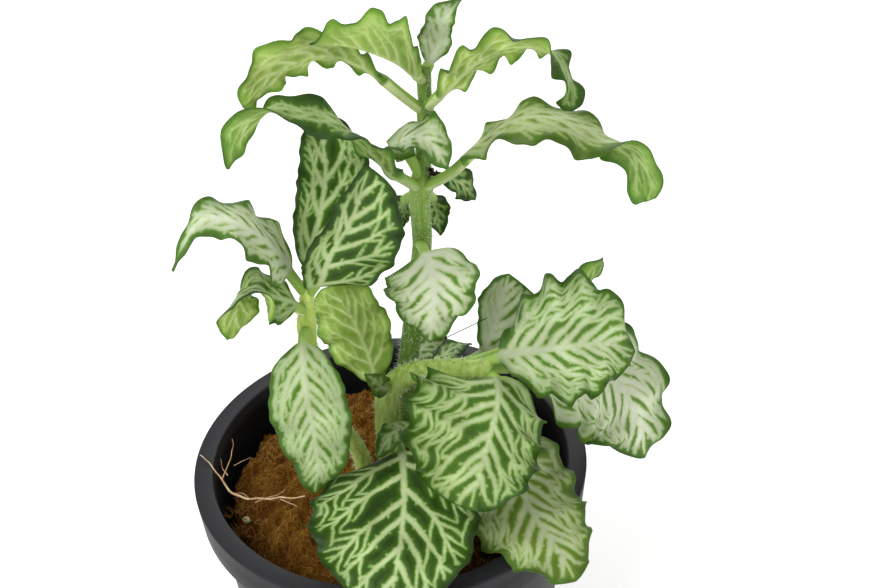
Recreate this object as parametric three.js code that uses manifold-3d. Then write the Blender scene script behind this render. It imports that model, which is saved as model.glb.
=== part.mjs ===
// A nerve plant (Fittonia) in a 90 mm round plastic nursery pot.
// Millimetres, +Z up, the origin at the centre of the pot's flat base, the side seen daily towards -Y.
// Three leafy stems rise from a plug of fibrous growing mix that sits loosely in the pot.

import * as THREE from 'three';
import { mergeVertices } from 'three/addons/utils/BufferGeometryUtils.js';
import Module from 'manifold-3d';

const wasm = await Module();
wasm.setup();

// ---- Driving dimensions ----

const gap = 0.3; // air kept between neighbouring pieces

const pot = {
  height: 80,
  rimRadius: 45,
  rimWidth: 4.4, // flat top of the rim
  rimThick: 1.6,
  wall: 1.3,
  skirtDepth: 9,
  skirtDraw: 0.7, // how much narrower the skirt is at its lower edge
  baseRadius: 34.5,
  baseThick: 2.2,
  edgeRound: 0.6,
  drainHoles: 6,
  drainRadius: 3,
  drainRing: 25,
  sides: 64,
};

const plug = {
  top: 80, // crest of the mound, under the stems
  shoulder: 70, // height where the mound meets its steep side
  shoulderRadius: 37.2,
  seatHeight: 58, // below this it fills the pot
  domePower: 2.5, // a higher number gives a flatter crest and a steeper edge
  lump: 0.9, // height of the lumps
  lumpLengths: [15, 17, 7, 9], // broad lumps across and along, then fine ones on the diagonal
  fineShare: 0.6,
  sides: 36,
  domeRings: 7,
};

const blade = {
  thick: 0.7,
  stalkRadius: 1.1,
  stalkBlend: 0.25, // share of the blade over which the stalk thins into it
  edgeRoundness: 0.8, // how far the stalk's section thins towards its sides
  opening: 3, // the fold and the waves are full where the outline has a third of its width
  tipHalf: 0.5,
  keel: 0.45, // extra depth of the midrib under the blade
  scallop: 0.07, // how far the outline swings in and out with its waves, as a share of the width
  stalkRows: 3,
  steady: [-0.16, -0.08, 0, 0.08, 0.16], // shares of the rib over which its way is evened out
};

// cells across, from margin to margin, and along the blade
const grid = {
  large: { columns: 6, rows: 20 },
  medium: { columns: 4, rows: 16 },
  small: { columns: 4, rows: 8 },
};

const stemSides = 10;
const stemTop = [0, 1, 0.3]; // no stem runs this way, so it gives every section a steady top

// ---- Colours of the plain model ----

const finish = {
  pot: { color: 0x3b3b40, roughness: 0.45, metalness: 0 },
  plug: { color: 0x7a5a2a, roughness: 1, metalness: 0 },
  stem: { color: 0x8fb24e, roughness: 0.6, metalness: 0 },
  leaf: { color: 0x5e8f3c, roughness: 0.55, metalness: 0 },
  paleLeaf: { color: 0xa9c47e, roughness: 0.55, metalness: 0 },
  root: { color: 0xc9ab7c, roughness: 0.8, metalness: 0 },
};

// ---- Stems: the points of each centre line, with the stem's radius there ----

const stems = {
  stem_tall: {
    line: [[2, 4, 62], [3, 4, 83], [4, 4, 94], [6, 4, 106], [8, 4, 120], [10, 4, 134], [10, 4, 144],
      [10.5, 4, 148], [11, 4, 153], [12, 4, 164], [12, 4, 167], [12, 4, 172], [12.3, 4, 174]],
    radius: [2.5, 2.4, 2.4, 2.2, 2.1, 2, 2.1, 2.5, 1.6, 1.7, 1.3, 1.4, 1],
  },
  stem_left: {
    line: [[-5, -6, 62], [-6, -6, 79], [-7, -7, 88], [-11, -9, 99], [-14, -10, 112], [-15, -10, 121],
      [-15, -10, 125], [-14.5, -9.5, 130], [-14, -9, 135]],
    radius: [1.9, 1.9, 1.8, 1.7, 1.6, 1.7, 2, 1.5, 1.4],
  },
  stem_low: {
    line: [[0, -3, 62], [0, -4, 84], [0, -4, 95], [1, -4, 102], [5, -5, 106.5], [12, -6, 108],
      [18, -7, 108.5], [23, -8, 109]],
    radius: [2.8, 2.8, 2.7, 2.7, 2.6, 2.4, 2.2, 2],
  },
};

// ---- Leaves ----
// rib: the midrib, from the stem's centre line to the tip. stalk: the share of it that is bare leaf stalk.
// wide: the greatest half widths, left and right of the rib as seen on the upper face with the tip ahead.
// faces: where the upper face looks, at even steps from the base to the tip.
// fold: how far each half rises from the flat, in degrees, and tipFold the same at the tip.
// wave: height of the margin's waves, waves: their count along the leaf, start: where they begin, in turns.
// full: how blunt the outline is at the base and at the tip; a smaller number is blunter.

const leaves = {
  leaf_top_bud: {
    rib: [[12, 4, 172], [14, 5.8, 175.5], [15.6, 7, 178.5], [16.5, 7.5, 182], [20, 9, 185]],
    wide: [4.5, 2.5], faces: [[0.2, -1, 0.3], [0.2, -1, 0.3], [0.2, -1, 0.3]],
    fold: [15, 25], wave: 1, waves: 2.5, start: 0, stalk: 0.15, size: 'small', pale: true,
  },
  leaf_top_left: {
    rib: [[12, 4, 171], [7, -2, 178], [3, -6, 182], [-1.5, -9, 185], [-5.5, -11, 186.5],
      [-8.5, -12, 187]],
    wide: [7, 3.5], faces: [[0, 0.3, 1], [0, 0.3, 1], [0, 0.3, 1]],
    fold: [80, 55], wave: 1.2, waves: 3.5, start: 0.1, stalk: 0.1, size: 'medium', full: [0.6, 0.85],
  },
  leaf_upper_left: {
    rib: [[11, 4, 165], [7, 2.5, 169.5], [3.5, 1.5, 173.5], [0, 0, 177], [-4, -3, 180.5],
      [-8, -6.5, 182.5], [-12, -10.5, 183], [-16.5, -14, 182], [-21, -17, 178]],
    wide: [5.5, 3], faces: [[0, 0.4, 1], [0, 1, 0.2], [-0.2, 1, 0]],
    fold: [0, 0], wave: 1.4, waves: 5, start: 0.3, stalk: 0.2, size: 'medium', full: [1.2, 0.6],
  },
  leaf_upper_right: {
    rib: [[12, 4, 165], [16, 0, 171], [19.5, -4, 176.5], [23.5, -7.5, 181], [27, -10.5, 183.5],
      [31, -12.5, 184], [34.5, -13.5, 182.5], [36.8, -14.5, 178.5], [37.8, -15, 172]],
    wide: [3.6, 4.2],
    faces: [[0, 0.4, 1], [0, 0.8, 0.4], [0, 0.8, 0.4], [0.5, 0.6, 0.6], [1, -0.3, 0.3], [0.4, -1, 0.2]],
    fold: [0, 0], wave: 1.5, waves: 5.5, start: 0, stalk: 0.12, size: 'medium', full: [0.4, 0.35],
  },
  leaf_middle_left: {
    rib: [[10.5, 4, 147], [5, -3, 155], [1.5, -8.5, 162.5], [-1.5, -12, 168], [-4.5, -15, 172.5],
      [-8, -17, 175.5], [-11.5, -19, 177.5], [-15, -21, 179.5], [-18.5, -22.5, 179],
      [-22, -23.5, 176.5], [-24.5, -24, 170]],
    wide: [4.2, 3.8],
    faces: [[0.5, 0.9, 0.5], [0.5, 0.9, 0.5], [0.5, 0.8, 0.4], [0.3, 0.5, 0.8], [0, -0.6, 1], [0, -0.8, 1],
      [-0.3, 1, 0.2], [-0.4, 1, 0.1]],
    fold: [0, 0], wave: 1, waves: 4.5, start: 0.2, stalk: 0.15, size: 'medium', full: [0.5, 0.5],
  },
  leaf_middle_right: {
    rib: [[10.5, 4, 147], [16.5, -3, 154.5], [21.5, -8, 162.5], [25, -12, 168], [29.5, -14.5, 171],
      [34.5, -16, 171], [40, -17, 169], [45, -18, 167], [49, -19, 164.5], [50.5, -20, 160],
      [51, -20.5, 155]],
    wide: [4.6, 5.6],
    faces: [[0, -0.1, 1], [0, -0.2, 1], [0, -0.2, 1], [0, -0.2, 1], [0, -0.3, 1], [0, -0.3, 1],
      [0.5, 0.9, 0.3], [0.5, 0.9, 0.2]],
    fold: [12, -10], tipFold: [-60, -20], wave: 1.2, waves: 4.5, start: 0.5, stalk: 0.24, size: 'medium',
    full: [0.45, 0.3],
  },
  leaf_node_young: {
    rib: [[10.5, 3.5, 150], [9, 2.5, 154], [7, 1, 159.5], [9.5, -2, 162], [12, -6, 162.5],
      [15, -9, 158.5]],
    wide: [6, 5], faces: [[-0.3, -0.4, 1], [0, -0.5, 1], [0.4, -0.6, 0.6]],
    fold: [10, 10], wave: 1, waves: 2.5, start: 0, stalk: 0.28, size: 'small', pale: true,
  },
  leaf_node_back_left: {
    rib: [[9.5, 4.5, 146], [6.5, 8.5, 141.5], [5, 10.5, 137], [5, 10.5, 132]],
    wide: [3, 3], faces: [[0, -1, 0.5], [0, -1, 0.4], [0, -1, 0.2]],
    fold: [10, 10], wave: 0.5, waves: 2, start: 0, stalk: 0.3, size: 'small',
  },
  leaf_node_back_right: {
    rib: [[11, 5, 146], [13, 10.5, 140.5], [14, 13, 135], [14.5, 13, 130]],
    wide: [3, 3], faces: [[0, -1, 0.5], [0, -1, 0.4], [0, -1, 0.2]],
    fold: [10, 10], wave: 0.5, waves: 2, start: 0.4, stalk: 0.35, size: 'small',
  },
  leaf_node_side: {
    rib: [[11, 4.5, 149.5], [15.5, 8, 147], [19, 10, 144], [22, 11, 139.5]],
    wide: [3.4, 3.4], faces: [[0, -0.6, 1], [0, -0.7, 0.8], [0.3, -0.8, 0.5]],
    fold: [10, 10], wave: 0.7, waves: 2, start: 0.2, stalk: 0.35, size: 'small',
  },
  leaf_hanging: {
    rib: [[9.5, 4, 134], [10, -2, 136], [11, -6, 133.5], [11.3, -8.5, 128], [10.5, -9.5, 124],
      [10, -10, 118.5]],
    wide: [9.5, 10], faces: [[0, -0.4, 1], [0, -1, 0.6], [0, -1, 0.2]],
    fold: [-8, -8], wave: 1.6, waves: 3.5, start: 0.1, stalk: 0.28, size: 'medium',
    full: [0.35, 0.85], pale: true,
  },
  leaf_left_tall: {
    rib: [[-14, -8.5, 132], [-12.5, -4, 140], [-10, -2.5, 148], [-8.5, -1.5, 155], [-8.5, -1, 162],
      [-9, -1, 168]],
    wide: [5.5, 9], faces: [[0, -1, 0.3], [0, -1, 0.3], [0, -1, 0.3]],
    fold: [5, 5], wave: 0.7, waves: 3.5, start: 0, stalk: 0.12, size: 'medium', full: [0.55, 0.5],
  },
  leaf_left_round: {
    rib: [[-13.5, -9.5, 133], [-10.5, -14, 140], [-8, -16.5, 147], [-4.5, -18, 153], [-2, -19, 160],
      [0, -19.5, 166]],
    wide: [6, 11.5], faces: [[0.2, -1, 0.3], [0.1, -1, 0.35], [0, -1, 0.4]],
    fold: [35, 0], wave: 0.8, waves: 3.5, start: 0.2, stalk: 0.14, size: 'medium', full: [0.38, 0.6],
  },
  leaf_left_arching: {
    rib: [[-15, -9.5, 133.5], [-17, -12, 139.5], [-19.5, -14.5, 147], [-22.5, -17, 152.5],
      [-26.5, -19, 156.5], [-30.5, -20.5, 158], [-33.5, -21.5, 155.5], [-37.5, -22, 148.5]],
    wide: [6.8, 8], faces: [[-0.4, -0.5, 1], [0, -0.2, 1], [-0.3, -0.5, 0.8]],
    fold: [-22, 12], wave: 1, waves: 4, start: 0.2, stalk: 0.18, size: 'medium', full: [0.35, 1.4],
  },
  leaf_left_curled: {
    rib: [[-15, -10, 128.5], [-18, -14, 134], [-21, -17, 138], [-23.5, -19, 141.5],
      [-26, -20, 141.5], [-27.5, -19.5, 137], [-29, -19, 130]],
    wide: [6.5, 7],
    faces: [[-0.2, -0.5, 1], [0, -0.6, 1], [-0.1, -0.5, 1], [-0.6, 0.4, 0.7], [-0.6, 0.9, 0.1],
      [-0.5, 0.9, 0.1]],
    fold: [-20, 0], wave: 0.7, waves: 3.5, start: 0.4, stalk: 0.15, size: 'medium', full: [0.5, 0.6],
  },
  leaf_left_hanging: {
    rib: [[-15, -10, 124.5], [-15.5, -15, 126], [-16, -20, 120], [-15.5, -23, 113], [-15, -24, 107],
      [-15, -24.5, 99.5], [-16.5, -24.5, 92.5]],
    wide: [8, 8], faces: [[0, -0.2, 1], [0, -1, 0.4], [0, -1, 0.1]],
    fold: [-6, -6], wave: 0.8, waves: 4, start: 0, stalk: 0.16, size: 'medium', full: [0.5, 0.7],
  },
  leaf_crown_upright: {
    rib: [[0, -3, 99], [-2, 0, 104], [-4, 1.5, 111.5], [-6.5, 3, 118.5], [-10, 4, 125]],
    wide: [7, 8.5], faces: [[-0.1, 1, 0.3], [-0.1, 1, 0.3], [-0.1, 1, 0.3]],
    fold: [8, 5], wave: 1.1, waves: 3.5, start: 0.3, stalk: 0.14, size: 'medium', full: [0.55, 0.4],
  },
  leaf_right_large: {
    rib: [[22, -7.3, 110], [26.5, -8.2, 112], [33, -9.4, 113.5], [39.5, -10.3, 114.5],
      [46, -10.8, 115], [53, -11, 112.5]],
    wide: [16, 13], faces: [[0, -0.5, 1], [0.1, -0.6, 1], [0.4, -0.6, 0.8]],
    fold: [8, 10], wave: 2.3, waves: 5, start: 0, stalk: 0.08, size: 'large',
    full: [0.9, 0.85], pale: true,
  },
  leaf_right_drooping: {
    rib: [[20, -7, 108], [30, -2, 103.5], [39.5, 2, 100], [48, 4, 96], [53.5, 3.5, 91.5],
      [56.5, 2, 86], [58.5, 0, 80.5], [59, -2, 74]],
    wide: [14.5, 16.5], faces: [[0, -0.3, 1], [0.5, -0.4, 0.8], [0.5, -1, 0.2]],
    fold: [0, -5], wave: 2.2, waves: 5.5, start: 0.3, stalk: 0.2, size: 'large',
    full: [0.6, 0.75], pale: true,
  },
  leaf_right_upper: {
    rib: [[18, -6.5, 109.5], [25, -3, 109], [32, -1, 109.5], [39.5, 5, 110.5], [45, 9.5, 113],
      [47.5, 10.5, 118], [50, 11, 122]],
    wide: [4, 3.5], faces: [[0, 1, 0.6], [-0.3, 1, 0.5], [-0.5, 1, 0.3]],
    fold: [20, 20], wave: 1, waves: 3, start: 0.2, stalk: 0.45, size: 'medium', full: [0.7, 0.4],
  },
  leaf_right_back: {
    rib: [[14, -6, 108.5], [22, 6, 102.5], [25.5, 10.5, 106], [27.5, 13, 111], [29.5, 14.5, 117.5]],
    wide: [5, 9.4], faces: [[0, -1, 0.5], [0, -1, 0.6], [-0.2, -1, 0.6]],
    fold: [0, -10], wave: 1.2, waves: 3, start: 0, stalk: 0.38, size: 'medium', full: [1.4, 0.8],
    pale: true,
  },
  leaf_back_small: {
    rib: [[4.5, 4, 98], [8, 11, 100.5], [12, 15, 99.5], [17, 17, 95]],
    wide: [4, 4], faces: [[0, -0.4, 1], [0.1, -0.5, 1], [0.3, -0.6, 0.8]],
    fold: [0, 0], wave: 0.7, waves: 3, start: 0, stalk: 0.2, size: 'small', pale: true,
  },
  leaf_back_tiny: {
    rib: [[9, -5.5, 107.5], [13, 1, 106], [16.5, 5, 105.5], [20, 7.5, 104]],
    wide: [2.8, 2.8], faces: [[0, -0.2, 1], [0, -0.2, 1], [0, 0.2, 1]],
    fold: [5, 5], wave: 0.5, waves: 2, start: 0, stalk: 0.3, size: 'small',
  },
  leaf_front_centre: {
    rib: [[22, -7.5, 108], [23.5, -11.5, 108.3], [23.4, -16.5, 108.2], [22.2, -21.5, 107.6],
      [20.5, -26, 105.8], [18.5, -30.5, 103], [16.4, -34.5, 99.5], [15, -37, 96]],
    wide: [13, 19], faces: [[0, -0.3, 1], [0, -0.6, 0.8], [-0.2, -0.8, 0.5]],
    fold: [-35, 20], tipFold: [0, 0], wave: 2.2, waves: 5, start: 0.1, stalk: 0.12, size: 'large',
    full: [0.33, 0.5],
  },
  leaf_front_large: {
    rib: [[1, -4, 90], [2.4, -15, 92.5], [2.4, -23, 93], [1.9, -30, 91.5], [1.1, -36, 90.5],
      [0, -41.5, 89], [-1.5, -47, 86.5], [-2.7, -51, 83.5]],
    wide: [15.5, 19.5], faces: [[0, -0.3, 1], [0, -0.5, 1], [0, -0.7, 1]],
    fold: [-3, -3], wave: 1.3, waves: 4.5, start: 0, stalk: 0.22, size: 'large', full: [0.5, 0.6],
  },
  leaf_front_right: {
    rib: [[17, -7, 107.5], [23, -12, 96.5], [26, -18, 88.5], [28.5, -25.5, 84.5], [31, -32.5, 83.5],
      [33.5, -39, 82.5], [35.5, -44, 80.5]],
    wide: [12.5, 14.5], faces: [[0.5, -0.6, 0.6], [0.2, -0.4, 1], [0.3, -0.5, 1]],
    fold: [0, -10], wave: 1.9, waves: 5, start: 0.4, stalk: 0.32, size: 'large', full: [0.3, 0.6],
  },
  leaf_crown_front: {
    rib: [[0.5, -4, 92], [2, -11, 96.5], [0, -15, 98], [-3, -19, 96]],
    wide: [3.5, 3], faces: [[0, -0.2, 1], [0, -0.6, 1], [-0.2, -0.8, 0.8]],
    fold: [0, 0], wave: 0.7, waves: 2, start: 0, stalk: 0.25, size: 'small',
  },
  leaf_crown_striped: {
    rib: [[7, -5, 107], [9, -10, 107.5], [11, -13, 104.5], [14, -15, 100]],
    wide: [4, 4], faces: [[0, -0.3, 1], [0, -0.6, 1], [0, -0.8, 0.8]],
    fold: [0, 0], wave: 0.5, waves: 2, start: 0, stalk: 0.2, size: 'small', pale: true,
  },
  leaf_crown_bud: {
    rib: [[1, -4, 103], [-1, -9, 107], [-2, -11, 110.5], [-4, -12, 113]],
    wide: [2.6, 2.6], faces: [[0.3, -1, 0.5], [0.2, -1, 0.5], [0.2, -1, 0.5]],
    fold: [10, 10], wave: 0.4, waves: 2, start: 0, stalk: 0.25, size: 'small',
  },
};

// A loose root that lies on the rim and runs down to the growing mix, with one branch.
const roots = {
  main: {
    line: [[-43.6, 3.5, 81], [-41, 0.5, 81.2], [-38.6, -2.5, 79], [-36, -6, 77], [-32, -9, 77],
      [-26, -11, 79], [-20, -12, 80.5]],
    radius: [0.5, 0.5, 0.5, 0.5, 0.5, 0.5, 0.4],
  },
  branch: {
    line: [[-38.2, -3, 78.6], [-36.5, 1, 79], [-35, 5, 80]],
    radius: [0.4, 0.4, 0.35],
  },
};
const rootSides = 6;

// ---- Building blocks ----

const vector = (point) => new THREE.Vector3(...point);

const curveThrough = (points) => new THREE.CatmullRomCurve3(points.map(vector), false, 'centripetal');

/** A mesh material in one of the named finishes. */
function material(name) {
  return new THREE.MeshStandardMaterial(finish[name]);
}

/** A closed body through rings of points; the second half of each ring lies under the first half. */
function loft(rings) {
  const count = rings[0].length;
  const half = count / 2;
  const index = [];
  for (let i = 0; i + 1 < rings.length; i++) {
    for (let k = 0; k < count; k++) {
      const next = (k + 1) % count;
      const [a, b, c, d] = [i * count + k, i * count + next, (i + 1) * count + next, (i + 1) * count + k];
      if (k < half) index.push(a, b, c, a, c, d);
      else index.push(a, b, d, b, c, d);
    }
  }
  const last = (rings.length - 1) * count;
  for (let k = 0; k + 1 < half; k++) {
    const [a, b, c, d] = [k, k + 1, count - 2 - k, count - 1 - k];
    index.push(a, d, b, b, d, c);
    index.push(last + a, last + b, last + d, last + b, last + c, last + d);
  }
  const geometry = new THREE.BufferGeometry();
  const positions = rings.flat().flatMap((p) => [p.x, p.y, p.z]);
  geometry.setAttribute('position', new THREE.Float32BufferAttribute(positions, 3));
  geometry.setIndex(index);
  return geometry;
}

/** A closed mesh as a solid that can be joined and cut. */
function solid(geometry) {
  const bare = geometry.clone();
  bare.deleteAttribute('normal');
  bare.deleteAttribute('uv');
  const merged = mergeVertices(bare, 1e-4);
  const vertProperties = new Float32Array(merged.attributes.position.array);
  const triVerts = new Uint32Array(merged.index.array);
  return new wasm.Manifold(new wasm.Mesh({ numProp: 3, vertProperties, triVerts }));
}

/** The geometry of a solid, after its cuts and joins. */
function shapeOf(body) {
  const mesh = body.getMesh();
  const geometry = new THREE.BufferGeometry();
  geometry.setAttribute('position', new THREE.Float32BufferAttribute(mesh.vertProperties, 3));
  geometry.setIndex(Array.from(mesh.triVerts));
  return geometry;
}

// ---- Stems and roots ----

/** A round stem along its centre line, its radius running evenly between the given ones. */
function stemShape({ line, radius }, sides, extra = 0) {
  const curve = curveThrough(line);
  const steps = 2 * (line.length - 1);
  const up = vector(stemTop).normalize();
  const rings = [];
  for (let i = 0; i <= steps; i++) {
    const t = i / steps;
    const at = curve.getPoint(t);
    const along = curve.getTangent(t);
    const side = new THREE.Vector3().crossVectors(along, up).normalize();
    const top = new THREE.Vector3().crossVectors(side, along);
    const k = Math.min(Math.floor(i / 2), line.length - 2);
    const share = i / 2 - k;
    const r = radius[k] * (1 - share) + radius[k + 1] * share + extra;
    rings.push(circle(at, side, top, r, sides));
  }
  return loft(rings);
}

/** A ring of points round a centre, from one side over the top and back below. */
function circle(centre, side, top, radius, sides) {
  const points = [];
  for (let k = 0; k < sides; k++) {
    const angle = Math.PI - (2 * Math.PI * (k + 0.5)) / sides;
    const point = centre.clone();
    point.addScaledVector(side, radius * Math.cos(angle));
    point.addScaledVector(top, radius * Math.sin(angle));
    points.push(point);
  }
  return points;
}

// ---- Leaves ----

/** Where the upper face looks, at a share t of the rib. */
function faceAt(faces, t) {
  const place = t * (faces.length - 1);
  const k = Math.min(Math.floor(place), faces.length - 2);
  const [before, after] = [faces[k], faces[k + 1]].map((face) => vector(face).normalize());
  return before.lerp(after, THREE.MathUtils.smoothstep(place - k, 0, 1));
}

/** The leaf's outline: its half width, as a share of the greatest, at a share t of the blade. */
function outline(t, [base, tip]) {
  const peak = base / (base + tip);
  return (t / peak) ** base * ((1 - t) / (1 - peak)) ** tip;
}

/** The way that a rib runs, evened out so that a wide blade does not bunch up inside a bend. */
function wayAt(curve, t) {
  const way = new THREE.Vector3();
  for (const shift of blade.steady) {
    way.add(curve.getTangentAt(THREE.MathUtils.clamp(t + shift, 0, 1)));
  }
  return way.normalize();
}

/** One cross section of a leaf: the upper face from left to right, then the lower face back again. */
function leafSection(leaf, curve, t) {
  const { wide, fold, tipFold = fold, wave, waves, start, stalk, full = [0.55, 0.85] } = leaf;
  const { columns } = grid[leaf.size];
  const at = curve.getPointAt(t);
  const along = wayAt(curve, t);
  const face = faceAt(leaf.faces, t);
  const up = face.addScaledVector(along, -face.dot(along)).normalize();
  const right = new THREE.Vector3().crossVectors(along, up);
  const share = THREE.MathUtils.clamp((t - stalk) / (1 - stalk), 0, 1);
  const open = outline(Math.max(share, 0), full);
  const solidity = 1 - THREE.MathUtils.smoothstep(share, 0, blade.stalkBlend);
  const upper = [];
  const lower = [];
  for (let j = 0; j <= columns; j++) {
    const v = (2 * j) / columns - 1;
    const side = v < 0 ? 0 : 1;
    const off = Math.abs(v);
    const leastHalf = blade.stalkRadius * solidity + blade.tipHalf * (1 - solidity);
    const spread = Math.min(open * blade.opening, 1);
    const beat = 2 * Math.PI * (waves * share + start + 0.5 * side);
    const swing = 1 + blade.scallop * spread * Math.cos(beat);
    const half = Math.max(wide[side] * open * swing, leastHalf);
    const rise = fold[side] + (tipFold[side] - fold[side]) * share ** 2;
    const angle = THREE.MathUtils.degToRad(rise) * spread;
    const lift = off * half * Math.sin(angle) + off ** 2 * spread * wave * Math.sin(beat);
    const middle = at.clone();
    middle.addScaledVector(right, Math.sign(v) * off * half * Math.cos(angle));
    middle.addScaledVector(up, lift);
    const round = blade.stalkRadius * Math.sqrt(1 - blade.edgeRoundness * off ** 2);
    const thin = blade.thick / 2;
    const above = thin + (round - thin) * solidity;
    const keel = j === columns / 2 ? blade.keel * (1 - share) : 0;
    upper.push(middle.clone().addScaledVector(up, above));
    lower.unshift(middle.clone().addScaledVector(up, -Math.max(above, thin + keel)));
  }
  return [...upper, ...lower];
}

/** A whole leaf, from its stalk inside the stem to its tip. */
function leafShape(leaf) {
  const curve = curveThrough(leaf.rib);
  const rings = [];
  for (let i = 0; i < blade.stalkRows; i++) {
    rings.push(leafSection(leaf, curve, (leaf.stalk * i) / blade.stalkRows));
  }
  const { rows } = grid[leaf.size];
  for (let i = 0; i <= rows; i++) {
    const t = leaf.stalk + ((1 - leaf.stalk) * i) / rows;
    rings.push(leafSection(leaf, curve, Math.min(t, 1)));
  }
  return loft(rings);
}

// ---- Pot and growing plug ----

/** The pot: a thin tapered wall, a flat rim with a skirt that hangs clear of the wall, a drained base. */
function potShape() {
  const { height, rimRadius, rimWidth, rimThick, wall, skirtDepth, skirtDraw, baseRadius, baseThick } = pot;
  const inner = rimRadius - rimWidth;
  const e = pot.edgeRound;
  const skirtFoot = height - skirtDepth;
  const profile = [
    [0, 0], [baseRadius - e, 0], [baseRadius, e],
    [inner + wall, height - rimThick - wall], [inner + 2 * wall, height - rimThick],
    [rimRadius - wall, height - rimThick], [rimRadius - wall - skirtDraw, skirtFoot],
    [rimRadius - skirtDraw, skirtFoot], [rimRadius, height - e], [rimRadius - e, height],
    [inner + e, height], [inner, height - e],
    [baseRadius - wall, baseThick], [0, baseThick],
  ];
  const points = profile.map(([r, z]) => new THREE.Vector2(r, z));
  const turned = new THREE.LatheGeometry(points, pot.sides).rotateX(Math.PI / 2);
  let body = solid(turned);
  for (let i = 0; i < pot.drainHoles; i++) {
    const angle = (2 * Math.PI * (i + 0.5)) / pot.drainHoles;
    const hole = new THREE.CylinderGeometry(pot.drainRadius, pot.drainRadius, 3 * baseThick, 16);
    hole.rotateX(Math.PI / 2);
    hole.translate(pot.drainRing * Math.cos(angle), pot.drainRing * Math.sin(angle), baseThick / 2);
    body = body.subtract(solid(hole));
  }
  return body;
}

/** Radius of the pot's inner wall at a height. */
function innerRadius(z) {
  const foot = pot.baseRadius - pot.wall;
  const mouth = pot.rimRadius - pot.rimWidth;
  return foot + ((mouth - foot) * (z - pot.baseThick)) / (pot.height - pot.edgeRound - pot.baseThick);
}

/** Height of the lumps of the growing mix, at a place on the mound. */
function lumps(x, y) {
  const [broadX, broadY, fineX, fineY] = plug.lumpLengths.map((length) => (2 * Math.PI) / length);
  const broad = Math.sin(broadX * x) * Math.cos(broadY * y);
  const fine = Math.sin(fineX * x - fineY * y);
  return plug.lump * (broad + plug.fineShare * fine);
}

/** The plug of growing mix: it fills the pot's lower part and rises to a mound clear of the wall. */
function plugShape() {
  const { top, shoulder, shoulderRadius, seatHeight, sides, domeRings } = plug;
  const clear = 3 * gap;
  const levels = [
    [0, pot.baseThick + gap],
    [innerRadius(pot.baseThick) - clear, pot.baseThick + gap],
    [innerRadius(seatHeight) - clear, seatHeight],
  ];
  for (let i = 0; i <= domeRings; i++) {
    const share = 1 - i / domeRings;
    levels.push([shoulderRadius * share, top - (top - shoulder) * share ** plug.domePower]);
  }
  const points = levels.map(([r, z]) => new THREE.Vector2(r, z));
  const geometry = new THREE.LatheGeometry(points, sides).rotateX(Math.PI / 2);
  const place = geometry.attributes.position;
  for (let i = 0; i < place.count; i++) {
    const [x, y, z] = [place.getX(i), place.getY(i), place.getZ(i)];
    if (z > seatHeight + 1) place.setZ(i, z + lumps(x, y));
  }
  return solid(geometry);
}

// ---- Assembly ----

const plant = new THREE.Group();

function add(name, body, finishName) {
  const mesh = new THREE.Mesh(shapeOf(body), material(finishName));
  mesh.name = name;
  plant.add(mesh);
}

const stemSolids = Object.values(stems).map((stem) => solid(stemShape(stem, stemSides)));
const stemRoom = Object.values(stems).map((stem) => solid(stemShape(stem, stemSides, gap)));
const clearOfStems = (body) => stemRoom.reduce((left, stem) => left.subtract(stem), body);

add('pot', potShape(), 'pot');
add('growing_plug', clearOfStems(plugShape()), 'plug');
Object.keys(stems).forEach((name, i) => add(name, stemSolids[i], 'stem'));
for (const [name, leaf] of Object.entries(leaves)) {
  add(name, clearOfStems(solid(leafShape(leaf))), leaf.pale ? 'paleLeaf' : 'leaf');
}

const [mainRoot, rootBranch] = Object.values(roots).map((line) => solid(stemShape(line, rootSides)));
add('loose_root', mainRoot.add(rootBranch), 'root');

export default plant;
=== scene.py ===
"""A potted nerve plant (Fittonia): three leafy stems in a plug of coir, in a 90 mm nursery pot.

Shapes are worked out in millimetres and turned to metres as each piece is placed in the frame.
"""

import math

import bmesh
import bpy
import numpy as np
from mathutils import Matrix, Vector, noise


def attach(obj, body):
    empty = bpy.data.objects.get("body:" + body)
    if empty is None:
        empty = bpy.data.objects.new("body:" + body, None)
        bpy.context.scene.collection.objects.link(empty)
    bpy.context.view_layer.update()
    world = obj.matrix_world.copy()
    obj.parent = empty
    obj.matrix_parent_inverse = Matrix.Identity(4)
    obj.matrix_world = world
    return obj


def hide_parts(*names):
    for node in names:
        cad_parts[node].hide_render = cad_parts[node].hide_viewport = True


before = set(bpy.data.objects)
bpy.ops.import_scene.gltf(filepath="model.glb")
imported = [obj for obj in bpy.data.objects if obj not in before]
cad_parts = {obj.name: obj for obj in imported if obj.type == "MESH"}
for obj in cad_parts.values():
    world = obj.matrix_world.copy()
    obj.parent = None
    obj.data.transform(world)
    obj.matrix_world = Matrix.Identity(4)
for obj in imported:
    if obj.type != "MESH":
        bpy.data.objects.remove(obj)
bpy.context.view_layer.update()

MM = 0.001

# ---- Studio: camera, lamps and floor ----
# The photograph looks down on the pot from the front, about 40 degrees above level, against plain white.
# A broad soft lamp hangs above the camera's left shoulder, a weaker one fills from the right, and one lights
# the leaves from behind.

camera_place = (0, -224.7, 278.8)
camera_turn = (55.37, 2.07, -4.75)  # degrees about X, then Y, then Z
camera_lens = 52.85  # mm, on a frame 36 mm wide
floor_size = 3000

# place and aim in mm, size in mm, power in watts
lamps = {
    "key_lamp": dict(place=(-520, -420, 800), aim=(0, 0, 90), size=620, power=7.5),
    "fill_lamp": dict(place=(700, -500, 420), aim=(0, 0, 90), size=600, power=2.2),
    "back_lamp": dict(place=(150, 650, 620), aim=(0, 0, 120), size=500, power=3.2),
}
world_grey = 0.5


def linear(hex_colour):
    """An sRGB hex colour as linear red, green, blue and alpha."""
    parts = [int(hex_colour[i:i + 2], 16) / 255 for i in (1, 3, 5)]
    return [c / 12.92 if c <= 0.04045 else ((c + 0.055) / 1.055) ** 2.4 for c in parts] + [1]


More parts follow.
